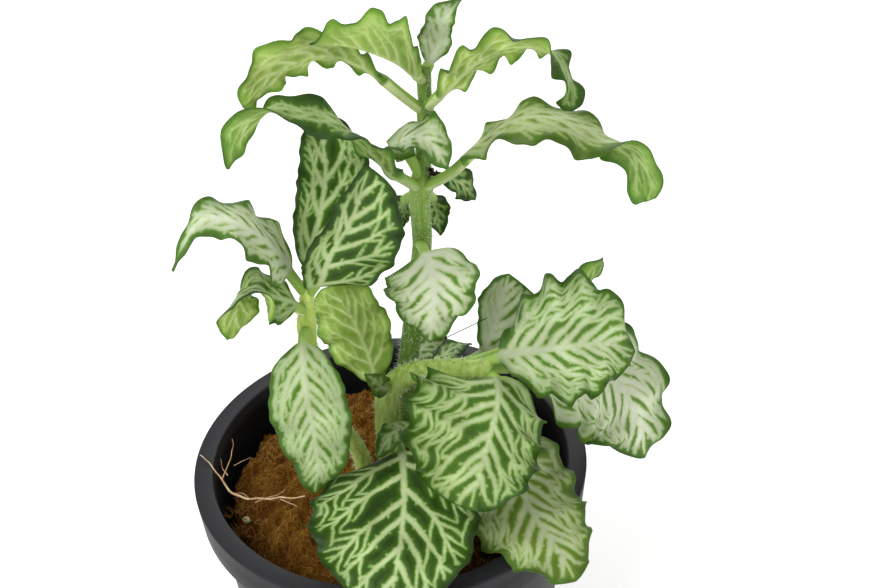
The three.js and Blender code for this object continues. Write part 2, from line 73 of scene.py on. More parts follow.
def add_node(tree, kind, inputs=(), stops=(), **settings):
    """Adds a node. An input is given a value or linked to a socket; stops are a colour ramp's hex colours."""
    node = tree.nodes.new("ShaderNode" + kind)
    for name, value in settings.items():
        setattr(node, name, value)
    for key, value in dict(inputs).items():
        if isinstance(value, bpy.types.NodeSocket):
            tree.links.new(value, node.inputs[key])
        else:
            node.inputs[key].default_value = value
    if stops:
        marks = node.color_ramp.elements
        while len(marks) < len(stops):
            marks.new(0.5)
        for mark, (place, colour) in zip(marks, stops):
            mark.position = place
        for mark, (place, colour) in zip(marks, stops):
            mark.color = linear(colour)
    return node


def new_material(name, **settings):
    """A node material with its node tree and shader; settings are the shader's own numbers."""
    material = bpy.data.materials.new(name)
    material.use_nodes = True
    shader = material.node_tree.nodes["Principled BSDF"]
    for socket, value in settings.items():
        shader.inputs[socket.replace("_", " ").title().replace("Ior", "IOR")].default_value = value
    return material, material.node_tree, shader


def feed(shader, colour, bump=None, roughness=None):
    """Links a colour, and a bump and a roughness where they are given, to the shader."""
    for socket, node in (("Base Color", colour), ("Normal", bump), ("Roughness", roughness)):
        if node:
            shader.id_data.links.new(node, shader.inputs[socket])


def add_object(name, data):
    """Puts an object into the scene, unturned at the origin."""
    made = bpy.data.objects.new(name, data)
    bpy.context.scene.collection.objects.link(made)
    return made


def add_mesh(name, shape):
    """Turns a finished shape, drawn in millimetres, into an object."""
    bmesh.ops.scale(shape, vec=(MM, MM, MM), verts=shape.verts)
    mesh = bpy.data.meshes.new(name)
    shape.to_mesh(mesh)
    shape.free()
    return add_object(name, mesh)


camera_data = bpy.data.cameras.new("camera")
camera_data.lens = camera_lens
camera = add_object("camera", camera_data)
camera.location = Vector(camera_place) * MM
camera.rotation_euler = [math.radians(turn) for turn in camera_turn]
bpy.context.scene.camera = camera
bpy.context.scene.view_settings.view_transform = "Standard"

for name, lamp in lamps.items():
    lamp_data = bpy.data.lights.new(name, "AREA")
    lamp_data.size = lamp["size"] * MM
    lamp_data.energy = lamp["power"]
    lamp_object = add_object(name, lamp_data)
    lamp_object.location = Vector(lamp["place"]) * MM
    reach = Vector(lamp["aim"]) - Vector(lamp["place"])
    lamp_object.rotation_euler = reach.to_track_quat("-Z", "Y").to_euler()

world = bpy.data.worlds.new("studio")
world.use_nodes = True
world.node_tree.nodes["Background"].inputs["Color"].default_value = [world_grey] * 3 + [1]
bpy.context.scene.world = world

floor_paper, tree, shader = new_material("white_studio_paper", roughness=0.9, emission_strength=0.22)
shader.inputs["Emission Color"].default_value = (1, 1, 1, 1)
speckle = add_node(tree, "TexNoise", {"Scale": 1 / (40 * MM), "Detail": 3})
paper_tint = add_node(tree, "ValToRGB", {"Fac": speckle.outputs["Fac"]},
                      stops=[(0.3, "#f6f6f5"), (0.7, "#fafaf9")])
feed(shader, paper_tint.outputs["Color"])

floor_shape = bmesh.new()
bmesh.ops.create_grid(floor_shape, x_segments=1, y_segments=1, size=floor_size / 2)
floor = add_mesh("floor", floor_shape)
floor.data.materials.append(floor_paper)

# ---- Pot ----
# A thin-walled round nursery pot, moulded in black polypropylene, with a flat rim whose outer skirt hangs
# clear of the tapered wall so that pots can be nested, and six drain holes in the base.

pot_height = 80
pot_rim = 45
pot_mouth = 40.6
pot_wall = 1.3
pot_base = 34.5
pot_base_thick = 2.2
rim_thick = 1.6
skirt_depth = 9
skirt_draw = 0.7
drain_holes = 6
drain_radius = 3
drain_ring = 25
corner_round = 0.55
pot_steps = 160


def finish_piece(piece, materials, node):
    """Gives a piece its materials and its place on the frame, instead of a node where one is named."""
    for material in materials:
        piece.data.materials.append(material)
    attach(piece, "root")
    if node:
        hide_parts(node)
    return piece


def add_piece(name, shape, materials, node=None):
    """Turns a finished shape into a smooth piece."""
    piece = add_mesh(name, shape)
    piece.data.shade_smooth()
    return finish_piece(piece, materials, node)


def turned(profile, steps, rounding=0):
    """A closed round shape from half its profile, with its corners rounded where that is asked."""
    shape = bmesh.new()
    corners = [shape.verts.new((r, 0, z)) for r, z in profile]
    for start, end in zip(corners, corners[1:]):
        shape.edges.new((start, end))
    if rounding:
        bmesh.ops.bevel(shape, geom=corners[1:-1], affect="VERTICES", offset=rounding, segments=4,
                        profile=0.5, material=-1, clamp_overlap=True)
    bmesh.ops.spin(shape, geom=shape.verts[:] + shape.edges[:], axis=(0, 0, 1), cent=(0, 0, 0),
                   angle=2 * math.pi, steps=steps, use_merge=True)
    bmesh.ops.remove_doubles(shape, verts=shape.verts, dist=0.001)
    bmesh.ops.recalc_face_normals(shape, faces=shape.faces)
    return shape


pot_profile = [
    (0, 0), (pot_base, 0),
    (pot_mouth + pot_wall, pot_height - rim_thick),
    (pot_rim - pot_wall, pot_height - rim_thick),
    (pot_rim - pot_wall - skirt_draw, pot_height - skirt_depth),
    (pot_rim - skirt_draw, pot_height - skirt_depth), (pot_rim, pot_height),
    (pot_mouth, pot_height), (pot_base - pot_wall, pot_base_thick), (0, pot_base_thick),
]
pot_shape = turned(pot_profile, pot_steps, corner_round)

# Moulded black polypropylene: a satin skin with faint flow marks and a little dust, so its gloss is uneven.
# From 4 to 2 mm below its top the rim is painted paler than the wall: a painted reflection, standing in for
# the rim's stronger gloss.
black_plastic, tree, shader = new_material("moulded_black_polypropylene", specular_ior_level=0.13)
place = add_node(tree, "TexCoord").outputs["Object"]
flow = add_node(tree, "TexNoise", {"Vector": place, "Scale": 1 / (14 * MM), "Detail": 4})
dust = add_node(tree, "TexNoise", {"Vector": place, "Scale": 1 / (0.9 * MM), "Detail": 5, "Roughness": 0.7})
plastic_tint = add_node(tree, "ValToRGB", {"Fac": flow.outputs["Fac"]},
                        stops=[(0.3, "#0f0f12"), (0.7, "#17171b")])
level = add_node(tree, "SeparateXYZ", {"Vector": place}).outputs["Z"]
# painted reflection on the rim: the grey turns paler from 4 to 2 mm below its top
rim_sheen = add_node(tree, "MapRange", {"Value": level, "From Min": (pot_height - 4) * MM,
                                     "From Max": (pot_height - 2) * MM})
rim_tint = add_node(tree, "Mix", {0: rim_sheen.outputs["Result"], 6: plastic_tint.outputs["Color"],
                                  7: linear("#29292c")}, data_type="RGBA")
dust_share = add_node(tree, "ValToRGB", {"Fac": dust.outputs["Fac"]},
                      stops=[(0.62, "#000000"), (0.75, "#ffffff")])
dusty = add_node(tree, "Mix", {0: dust_share.outputs["Color"], 6: rim_tint.outputs[2],
                               7: linear("#434247")}, data_type="RGBA")
gloss = add_node(tree, "MapRange", {"Value": flow.outputs["Fac"], "To Min": 0.4, "To Max": 0.56})
grain = add_node(tree, "Bump", {"Height": dust.outputs["Fac"], "Strength": 0.12, "Distance": 0.1 * MM})
feed(shader, dusty.outputs[2], grain.outputs["Normal"], gloss.outputs["Result"])

pot = add_piece("nursery_pot", pot_shape, [black_plastic], "pot")

drill_shape = bmesh.new()
for i in range(drain_holes):
    turn = Matrix.Rotation(2 * math.pi * (i + 0.5) / drain_holes, 4, "Z")
    out = Matrix.Translation((drain_ring, 0, pot_base_thick / 2))
    bmesh.ops.create_cone(drill_shape, cap_ends=True, segments=32, radius1=drain_radius, radius2=drain_radius,
                          depth=3 * pot_base_thick, matrix=turn @ out)
drill = add_mesh("drill", drill_shape)
cut = pot.modifiers.new("drain_holes", "BOOLEAN")
cut.object = drill
drilled = bpy.data.meshes.new_from_object(pot.evaluated_get(bpy.context.evaluated_depsgraph_get()))
pot.modifiers.clear()
pot.data = drilled
bpy.data.objects.remove(drill)

# ---- Growing plug ----
# A plug of coir, the golden-brown husk fibre of coconuts, felted into a soft block with a mounded top.
# It sits loosely in the pot, so a dark gap shows along its left and back.

plug_top = 80
plug_shoulder = 70
shoulder_radius = 37.2
seat_height = 58  # up to here the plug follows the pot's wall, this far from it
seat_clear = 0.9
dome_power = 2.5  # how flat the mound's top is
lump = 0.9  # mm that the mound's broad lumps stand up, and their lengths across and along
lump_lengths = (15, 17, 7, 9)
fine_share = 0.6  # how high the finer lumps are, as a share of the broad ones
dome_rings = 110
plug_steps = 380
plug_lift = 0.3  # the plug stands this clear of the base
clump = 2.2  # mm that the felted clumps stand up
clump_length = 4.5
tuft = 0.8  # mm that the smaller tufts on them stand up
tuft_length = 1.2
felt_seed = 11
fibre_count = 4200
long_fibres = 50
# sizes in mm of the long fibres and of the others: knots, and least and greatest step and radius
fibre_kinds = {
    True: dict(knots=9, step=(0.8, 1.6), radius=(0.05, 0.08)),
    False: dict(knots=5, step=(0.3, 0.8), radius=(0.03, 0.055)),
}
fibre_lift = (0.05, 0.7)  # how far a fibre's middle lifts off the mound
fibre_curl = 0.45  # how much it turns from knot to knot, in radians
husk_mix = (0.05, 0.3, 0.42, 0.23)  # shares of pale, golden, brown and dark fibres
# places of denser tufts: x, y, fibres and spread
tufts = ((-32.4, -18, 90, 1.6), (-35, -12.5, 40, 1), (-30, -24, 50, 1.5), (-36, -4, 40, 1.2),
         (-27, 12, 40, 2))
tuft_radii = (0.06, 0.05, 0.03)
tuft_rise = (0, 0, 0.9)  # mm to the middle of a tuft's fibre, how unequal they are, and how much they bend
tuft_spread = (0.7, 0.7, 0.3)
tuft_curl = 0.5
crumb_place = (-33.6, -10.4)
crumb_size = 0.8
crumb_shares = (1.1, 0.8, 0.9)


def pot_inside(z):
    """Radius of the pot's inner wall at a height."""
    foot = pot_base - pot_wall
    return foot + (pot_mouth - foot) * (z - pot_base_thick) / (pot_height - pot_base_thick)


def mound_height(x, y):
    """Height of the mound's top at a place, with its broad lumps."""
    share = min(math.hypot(x, y) / shoulder_radius, 1)
    height = plug_top - (plug_top - plug_shoulder) * share ** dome_power
    broad = math.sin(2 * math.pi * x / lump_lengths[0]) * math.cos(2 * math.pi * y / lump_lengths[1])
    fine = math.sin(2 * math.pi * x / lump_lengths[2] - 2 * math.pi * y / lump_lengths[3])
    return height + lump * (broad + fine_share * fine)


def felt(place):
    """How far the felt stands out at a place: ragged clumps with smaller tufts on them."""
    at = Vector(place)
    clumps = noise.turbulence(at / clump_length, 3, False, noise_basis="PERLIN_ORIGINAL")
    small = noise.turbulence(at / tuft_length, 3, True, noise_basis="PERLIN_ORIGINAL")
    return clump * (clumps - 0.4) + tuft * (small - 0.5)


plug_foot = pot_base_thick + plug_lift
plug_profile = [(0, plug_foot), (pot_inside(pot_base_thick) - seat_clear, plug_foot)]
for i in range(9):
    level = plug_foot + (seat_height - plug_foot) * (i + 1) / 9
    plug_profile.append((pot_inside(level) - seat_clear, level))
seat_radius = plug_profile[-1][0]
for i in range(1, 19):
    level = seat_height + (plug_shoulder - seat_height) * i / 19
    plug_profile.append((seat_radius + (shoulder_radius - seat_radius) * i / 19, level))
for i in range(dome_rings + 1):
    plug_profile.append((shoulder_radius * (1 - i / dome_rings), plug_shoulder))

plug_shape = turned(plug_profile, plug_steps)
for vert in plug_shape.verts:
    x, y, z = vert.co
    if z > plug_shoulder - 0.01:
        vert.co.z = mound_height(x, y) + felt((x, y, 0))
    elif z > seat_height + 0.01:
        out = Vector((x, y, 0)).normalized()
        rise = (z - seat_height) / (plug_shoulder - seat_height)
        vert.co += out * rise * 1.6 * felt((x, y, z))
        vert.co.z += rise * (mound_height(x, y) - plug_shoulder)

# Coir: matt husk fibre, golden high on the mound, darker and red-brown lower down and in patches: the
# red-brown is partly the fibre's own colour and partly painted shade for the shadow low in the pot.
coir, tree, shader = new_material("felted_coconut_coir", roughness=0.95, specular_ior_level=0.08)
place = add_node(tree, "TexCoord").outputs["Object"]
stretched = add_node(tree, "Mapping", {"Vector": place, "Scale": (1, 2.6, 1), "Rotation": (0, 0, 0.6)})
strands = add_node(tree, "TexNoise", {"Vector": stretched.outputs["Vector"], "Scale": 1 / (0.7 * MM),
                                      "Detail": 6, "Roughness": 0.72, "Distortion": 1.2})
patches = add_node(tree, "TexNoise", {"Vector": place, "Scale": 1 / (11 * MM), "Detail": 3})
level = add_node(tree, "SeparateXYZ", {"Vector": place}).outputs["Z"]
# painted shade: the coir darkens towards red-brown from 82 mm down to 66 mm
low_shade = add_node(tree, "MapRange", {"Value": level, "From Min": 66 * MM, "From Max": 82 * MM,
                                      "To Min": 1, "To Max": 0})
redness = add_node(tree, "Math", {0: low_shade.outputs["Result"], 1: patches.outputs["Fac"]},
                   operation="MULTIPLY")
red_share = add_node(tree, "MapRange", {"Value": redness.outputs["Value"], "From Min": 0.12,
                                        "From Max": 0.45})
golden = add_node(tree, "ValToRGB", {"Fac": strands.outputs["Fac"]},
                  stops=[(0.3, "#271304"), (0.46, "#5c3a0a"), (0.58, "#865c1a"), (0.74, "#b38639")])
reddish = add_node(tree, "ValToRGB", {"Fac": strands.outputs["Fac"]},
                   stops=[(0.3, "#1c0b03"), (0.5, "#49230a"), (0.7, "#713f13")])
coir_tint = add_node(tree, "Mix", {0: red_share.outputs["Result"], 6: golden.outputs["Color"],
                                   7: reddish.outputs["Color"]}, data_type="RGBA")
nap = add_node(tree, "Bump", {"Height": strands.outputs["Fac"], "Strength": 0.9, "Distance": 0.5 * MM})
feed(shader, coir_tint.outputs[2], nap.outputs["Normal"])

add_piece("coir_plug", plug_shape, [coir], "growing_plug")


def drifting_material(name, grain, detail, stops, **settings):
    """A plain skin whose colour drifts between the stops, in patches of about the grain's size in mm."""
    material, tree, shader = new_material(name, **settings)
    place = add_node(tree, "TexCoord").outputs["Object"]
    shade = add_node(tree, "TexNoise", {"Vector": place, "Scale": 1 / (grain * MM), "Detail": detail})
    tint = add_node(tree, "ValToRGB", {"Fac": shade.outputs["Fac"]}, stops=stops)
    feed(shader, tint.outputs["Color"])
    return material


def add_strands(name, strands, materials, sides=0, node=None):
    """Thin round strands as one piece. A strand is its points with a radius each, in mm, and a material."""
    curve = bpy.data.curves.new(name, "CURVE")
    curve.dimensions = "3D"
    curve.bevel_depth = MM
    curve.bevel_resolution = sides
    curve.use_fill_caps = True
    for points, radii, material in strands:
        spline = curve.splines.new("POLY")
        spline.points.add(len(points) - 1)
        spline.material_index = material
        spline.use_smooth = True
        for knot, point, radius in zip(spline.points, points, radii):
            knot.co = (*(Vector(point) * MM), 1)
            knot.radius = radius
    return finish_piece(add_object(name, curve), materials, node)


def husk_fibre(chance, long):
    """One fibre that lies on the mound and lifts off it a little at its middle or its ends."""
    turn = chance.uniform(0, 2 * math.pi)
    ring = (shoulder_radius - 0.8) * math.sqrt(chance.uniform(0, 1))
    x, y = ring * math.cos(turn), ring * math.sin(turn)
    heading = chance.uniform(0, 2 * math.pi)
    kind = fibre_kinds[long]
    knots = kind["knots"]
    step = chance.uniform(*kind["step"])
    lift = chance.uniform(*fibre_lift)
    radius = chance.uniform(*kind["radius"])
    points = []
    for i in range(knots):
        out = math.hypot(x, y)
        squeeze = min(1, (shoulder_radius - 0.5) / max(out, 0.1))
        x, y = x * squeeze, y * squeeze
        arch = lift * math.sin(math.pi * (i + 0.3) / knots)
        points.append((x, y, mound_height(x, y) + felt((x, y, 0)) + arch))
        heading += chance.normal(0, fibre_curl)
        x += step * math.cos(heading)
        y += step * math.sin(heading)
    radii = [radius * (1 - 0.6 * i / knots) for i in range(knots)]
    return points, radii, int(chance.choice(4, p=husk_mix))


# Single husk fibres: the same matt coir, in four shades that each vary from fibre to fibre.
husk_colours = {
    "pale_husk_fibre": ("#8a6428", "#ab8443"),
    "golden_husk_fibre": ("#714911", "#956926"),
    "brown_husk_fibre": ("#4b2b08", "#6a4413"),
    "dark_husk_fibre": ("#231004", "#3d2108"),
}
husk_shades = [
    drifting_material(name, 2.5, 2, [(0.35, dark), (0.65, light)], roughness=0.9, specular_ior_level=0.08)
    for name, (dark, light) in husk_colours.items()
]

chance = np.random.default_rng(felt_seed)
fibres = [husk_fibre(chance, i < long_fibres) for i in range(fibre_count)]
for x, y, count, spread in tufts:
    for _ in range(count):
        foot = np.array([*chance.normal((x, y), spread), 0])
        foot[2] = mound_height(foot[0], foot[1]) + felt((foot[0], foot[1], 0)) - 0.2
        rise = chance.normal(tuft_rise, tuft_spread)
        curl = chance.normal(0, tuft_curl, 3)
        fibres.append(([foot, foot + rise, foot + 1.6 * rise + curl], tuft_radii, int(chance.choice(2))))
add_strands("coir_fibres", fibres, husk_shades)

# One pale crumb of dried pith on the mound, at the left: dry and chalky, so it has hardly any gloss.
pith = drifting_material("dried_pale_pith", 0.8, 4, [(0.35, "#6f6537"), (0.6, "#a9a67b")],
                         roughness=0.9, specular_ior_level=0.1)
crumb_shape = bmesh.new()
bmesh.ops.create_icosphere(crumb_shape, subdivisions=4, radius=crumb_size)
rest = Vector((*crumb_place, mound_height(*crumb_place) + 0.6))
for vert in crumb_shape.verts:
    swell = 1 + 0.9 * noise.noise(vert.co / 0.9)
    vert.co = rest + vert.co * Vector(crumb_shares) * swell
add_piece("pith_crumb", crumb_shape, [pith])

# ---- Stems ----
# Three soft green stems, swollen at their joints and covered with fine pale hairs. Each stands in the plug;
# the low one is the oldest and thickest and bends over to the right.

stems = {
    "stem_tall": dict(
        line=[[2, 4, 62], [3, 4, 83], [4, 4, 94], [6, 4, 106], [8, 4, 120], [10, 4, 134], [10, 4, 144],
              [10.5, 4, 148], [11, 4, 153], [12, 4, 164], [12, 4, 167], [12, 4, 172], [12.3, 4, 174]],
        radius=[2.5, 2.4, 2.4, 2.2, 2.1, 2, 2.1, 2.5, 1.6, 1.7, 1.3, 1.4, 1],
    ),
    "stem_left": dict(
        line=[[-5, -6, 62], [-6, -6, 79], [-7, -7, 88], [-11, -9, 99], [-14, -10, 112], [-15, -10, 121],
              [-15, -10, 125], [-14.5, -9.5, 130], [-14, -9, 135]],
        radius=[1.9, 1.9, 1.8, 1.7, 1.6, 1.7, 2, 1.5, 1.4],
    ),
    "stem_low": dict(
        line=[[0, -3, 62], [0, -4, 84], [0, -4, 95], [1, -4, 102], [5, -5, 106.5], [12, -6, 108],
              [18, -7, 108.5], [23, -8, 109]],
        radius=[2.8, 2.8, 2.7, 2.7, 2.6, 2.4, 2.2, 2],
    ),
}
stem_up = (0, 1, 0.3)  # no stem runs this way, so it gives every section a steady top
stem_sides = 40
rows_per_mm = 2.2
stem_corners = 0.035  # how much the four blunt corners stand out, as a share of the radius
stem_bumps = 0.03  # the same for its unevenness, and the length of a bump in mm
bump_length = 1.6
stem_hairs = 4200
hair_length = 1
hair_radii = (0.04, 0.028, 0.008)  # at the root, the middle and the tip
hair_seed = 5
scrap_places = (((12.6, 1.6, 152.2), 12), ((13.6, 2, 151.2), 6), ((6.4, 1.2, 152.4), 6))
scrap_radii = (0.1, 0.3, 0.28, 0.06)
thread = ((10.5, -4.5, 109.6), (12, -3.4, 111.6), (14, -2, 113.5), (18.5, -3, 116.4), (22.5, -4, 119.2))
thread_radius = 0.1


def unit(vectors):
    """The directions of vectors."""
    return vectors / np.linalg.norm(vectors, axis=-1, keepdims=True)


class Path:
    """The smooth curve through a line of points, measured along its length."""

    def __init__(self, points, per_span=24):
        ends = np.array(points, float)
        ends = np.vstack([2 * ends[0] - ends[1], ends, 2 * ends[-1] - ends[-2]])
        u = np.linspace(0, 1, per_span, endpoint=False)[:, None]
        pieces = []
        for a, b, c, d in zip(ends, ends[1:], ends[2:], ends[3:]):
            before, here, after = (np.linalg.norm(e) ** 0.5 for e in (b - a, c - b, d - c))
            leave = ((b - a) / before - (c - a) / (before + here) + (c - b) / here) * here
            arrive = ((c - b) / here - (d - b) / (here + after) + (d - c) / after) * here
            pieces.append(b + leave * u + (3 * (c - b) - 2 * leave - arrive) * u ** 2
                          + (2 * (b - c) + leave + arrive) * u ** 3)
        self.points = np.vstack(pieces + [ends[-2:-1]])
        self.knot = np.arange(len(self.points)) / per_span
        steps = np.linalg.norm(np.diff(self.points, axis=0), axis=1)
        self.run = np.concatenate([[0], np.cumsum(steps)])
        self.length = self.run[-1]
        self.slopes = unit(np.gradient(self.points, self.run, axis=0))

    def at(self, share, values=None):
        """The points, or the given values, at shares of the length."""
        values = self.points if values is None else values
        run = np.clip(share, 0, 1) * self.length
        if values.ndim == 1:
            return np.interp(run, self.run, values)
        return np.stack([np.interp(run, self.run, column) for column in values.T], axis=1)

    def along(self, share):
        return unit(self.at(share, self.slopes))


def across(along, up):
    """Two directions square to a line: sideways, and up as nearly as it can be."""
    side = unit(np.cross(along, up))
    return side, np.cross(side, along)


def tube_places(path, radius, share, angle):
    """Points on a round stem, with blunt corners, and the ways that they look."""
    at, along = path.at(share), path.along(share)
    side, top = across(along, np.array(stem_up, float))
    around = side * np.cos(angle)[:, None] + top * np.sin(angle)[:, None]
    thick = path.at(share, np.interp(path.knot, range(len(radius)), radius))
    bumps = np.array([noise.noise(Vector(p) / bump_length) for p in at + around * thick[:, None]])
    thick = thick * (1 + stem_corners * np.cos(4 * angle) + stem_bumps * bumps)
    return at + around * thick[:, None], around


def stem_material(name, dark, middle, light):
    """Living stem: soft and slightly see-through, streaked along its length, in uneven greens."""
    material, tree, shader = new_material(name, roughness=0.55, specular_ior_level=0.3, subsurface_weight=0.2,
                                          subsurface_scale=1.2 * MM)
    shader.inputs["Subsurface Radius"].default_value = (0.6, 1, 0.3)
    place = add_node(tree, "TexCoord").outputs["Object"]
    along_stem = add_node(tree, "Mapping", {"Vector": place, "Scale": (4, 4, 1)})
    streaks = add_node(tree, "TexNoise", {"Vector": along_stem.outputs["Vector"], "Scale": 1 / (4 * MM),
                                          "Detail": 4})
    zones = add_node(tree, "TexNoise", {"Vector": place, "Scale": 1 / (17 * MM), "Detail": 1})
    mix = add_node(tree, "Math", {0: streaks.outputs["Fac"], 1: zones.outputs["Fac"]}, operation="ADD")
    share = add_node(tree, "Math", {0: mix.outputs["Value"], 1: 0.5}, operation="MULTIPLY")
    tint = add_node(tree, "ValToRGB", {"Fac": share.outputs["Value"]},
                    stops=[(0.36, dark), (0.5, middle), (0.62, light)])
    pores = add_node(tree, "Bump", {"Height": streaks.outputs["Fac"], "Strength": 0.3, "Distance": 0.2 * MM})
    feed(shader, tint.outputs["Color"], pores.outputs["Normal"])
    return material


stem_skins = {
    # the tall stem's darker greens are painted shade, for the shadow that it stands in
    "stem_tall": stem_material("painted_shade_green_stem", "#4f7026", "#6b8b37", "#83a04a"),
    "stem_left": stem_material("soft_yellow_green_stem", "#8fab40", "#afc65b", "#c5d876"),
    "stem_low": stem_material("pale_fleshy_stem", "#6f8c35", "#93ab50", "#b0c371"),
}

stem_paths = {}
for name, stem in stems.items():
    path = stem_paths[name] = Path(stem["line"])
    shape = bmesh.new()
    bmesh.ops.create_grid(shape, x_segments=stem_sides, y_segments=int(path.length * rows_per_mm), size=1)
    flat = np.array([vert.co for vert in shape.verts])
    places, _ = tube_places(path, stem["radius"], (flat[:, 1] + 1) / 2, math.pi * flat[:, 0])
    for vert, spot in zip(shape.verts, places):
        vert.co = spot
    bmesh.ops.remove_doubles(shape, verts=shape.verts, dist=0.001)
    bmesh.ops.holes_fill(shape, edges=[edge for edge in shape.edges if edge.is_boundary], sides=0)
    bmesh.ops.recalc_face_normals(shape, faces=shape.faces)
    add_piece(name + "_skin", shape, [stem_skins[name]], name)

# Stem hairs: colourless, so they catch the light as a pale fringe.
hair_skin = drifting_material("pale_plant_hair", 3, 2, [(0.3, "#c8d5a4"), (0.7, "#e4eacf")],
                              roughness=0.4, subsurface_weight=0.1)

chance = np.random.default_rng(hair_seed)
hairs = []
whole_length = sum(path.length for path in stem_paths.values())
for name, stem in stems.items():
    path = stem_paths[name]
    count = int(stem_hairs * path.length / whole_length)
    share = chance.uniform(0.12, 0.99, count)
    places, around = tube_places(path, stem["radius"], share, chance.uniform(-math.pi, math.pi, count))
    lean = unit(around + chance.normal(0, 0.35, (count, 3)))
    lengths = hair_length * chance.uniform(0.5, 1.2, (count, 1))
    bent = unit(lean + chance.normal(0, 0.3, (count, 3)))
    for root, middle, tip in zip(places, places + 0.5 * lengths * lean, places + lengths * (lean + bent) / 2):
        hairs.append(((root, middle, tip), hair_radii, 0))
add_strands("stem_hairs", hairs, [hair_skin])

# Dead scraps caught at the tall stem's main joint, and one thread by the low stem: dry, dull, nearly black.
dead = drifting_material("dead_brown_scrap", 1, 3, [(0.4, "#120b06"), (0.65, "#3d2712")],
                         roughness=0.8, specular_ior_level=0.2)
scraps = [(thread, [thread_radius] * len(thread), 0)]
for centre, count in scrap_places:
    for _ in range(count):
        way = unit(chance.normal(0, 1, 3))
        bend = chance.normal(0, 0.5, 3)
        points = [np.array(centre) + reach * way + reach ** 2 * bend * 0.3 for reach in (-1, -0.4, 0.3, 1.1)]
        scraps.append((points, scrap_radii, 0))
add_strands("dead_scraps", scraps, [dead], sides=2)

# ---- Leaves ----
# Thin soft blades on short stalks, quilted between a net of broad pale veins, with waved margins.
# The upper face is green with cream veins; the lower face is plain, paler green with the veins raised.
#
# rib: the midrib, from the stem's centre line to the tip. stalk: the share of it that is bare leaf stalk.
# wide: the greatest half widths, left and right of the rib as seen on the upper face with the tip ahead.
# faces: where the upper face looks, at even steps from the base to the tip.
# fold: how far each half rises from the flat, in degrees, and tipFold the same at the tip.
# wave: height of the margin's waves, waves: their count along the leaf, start: where they begin, in turns.
# full: how blunt the outline is at the base and at the tip. pairs: side veins on each side of the rib.

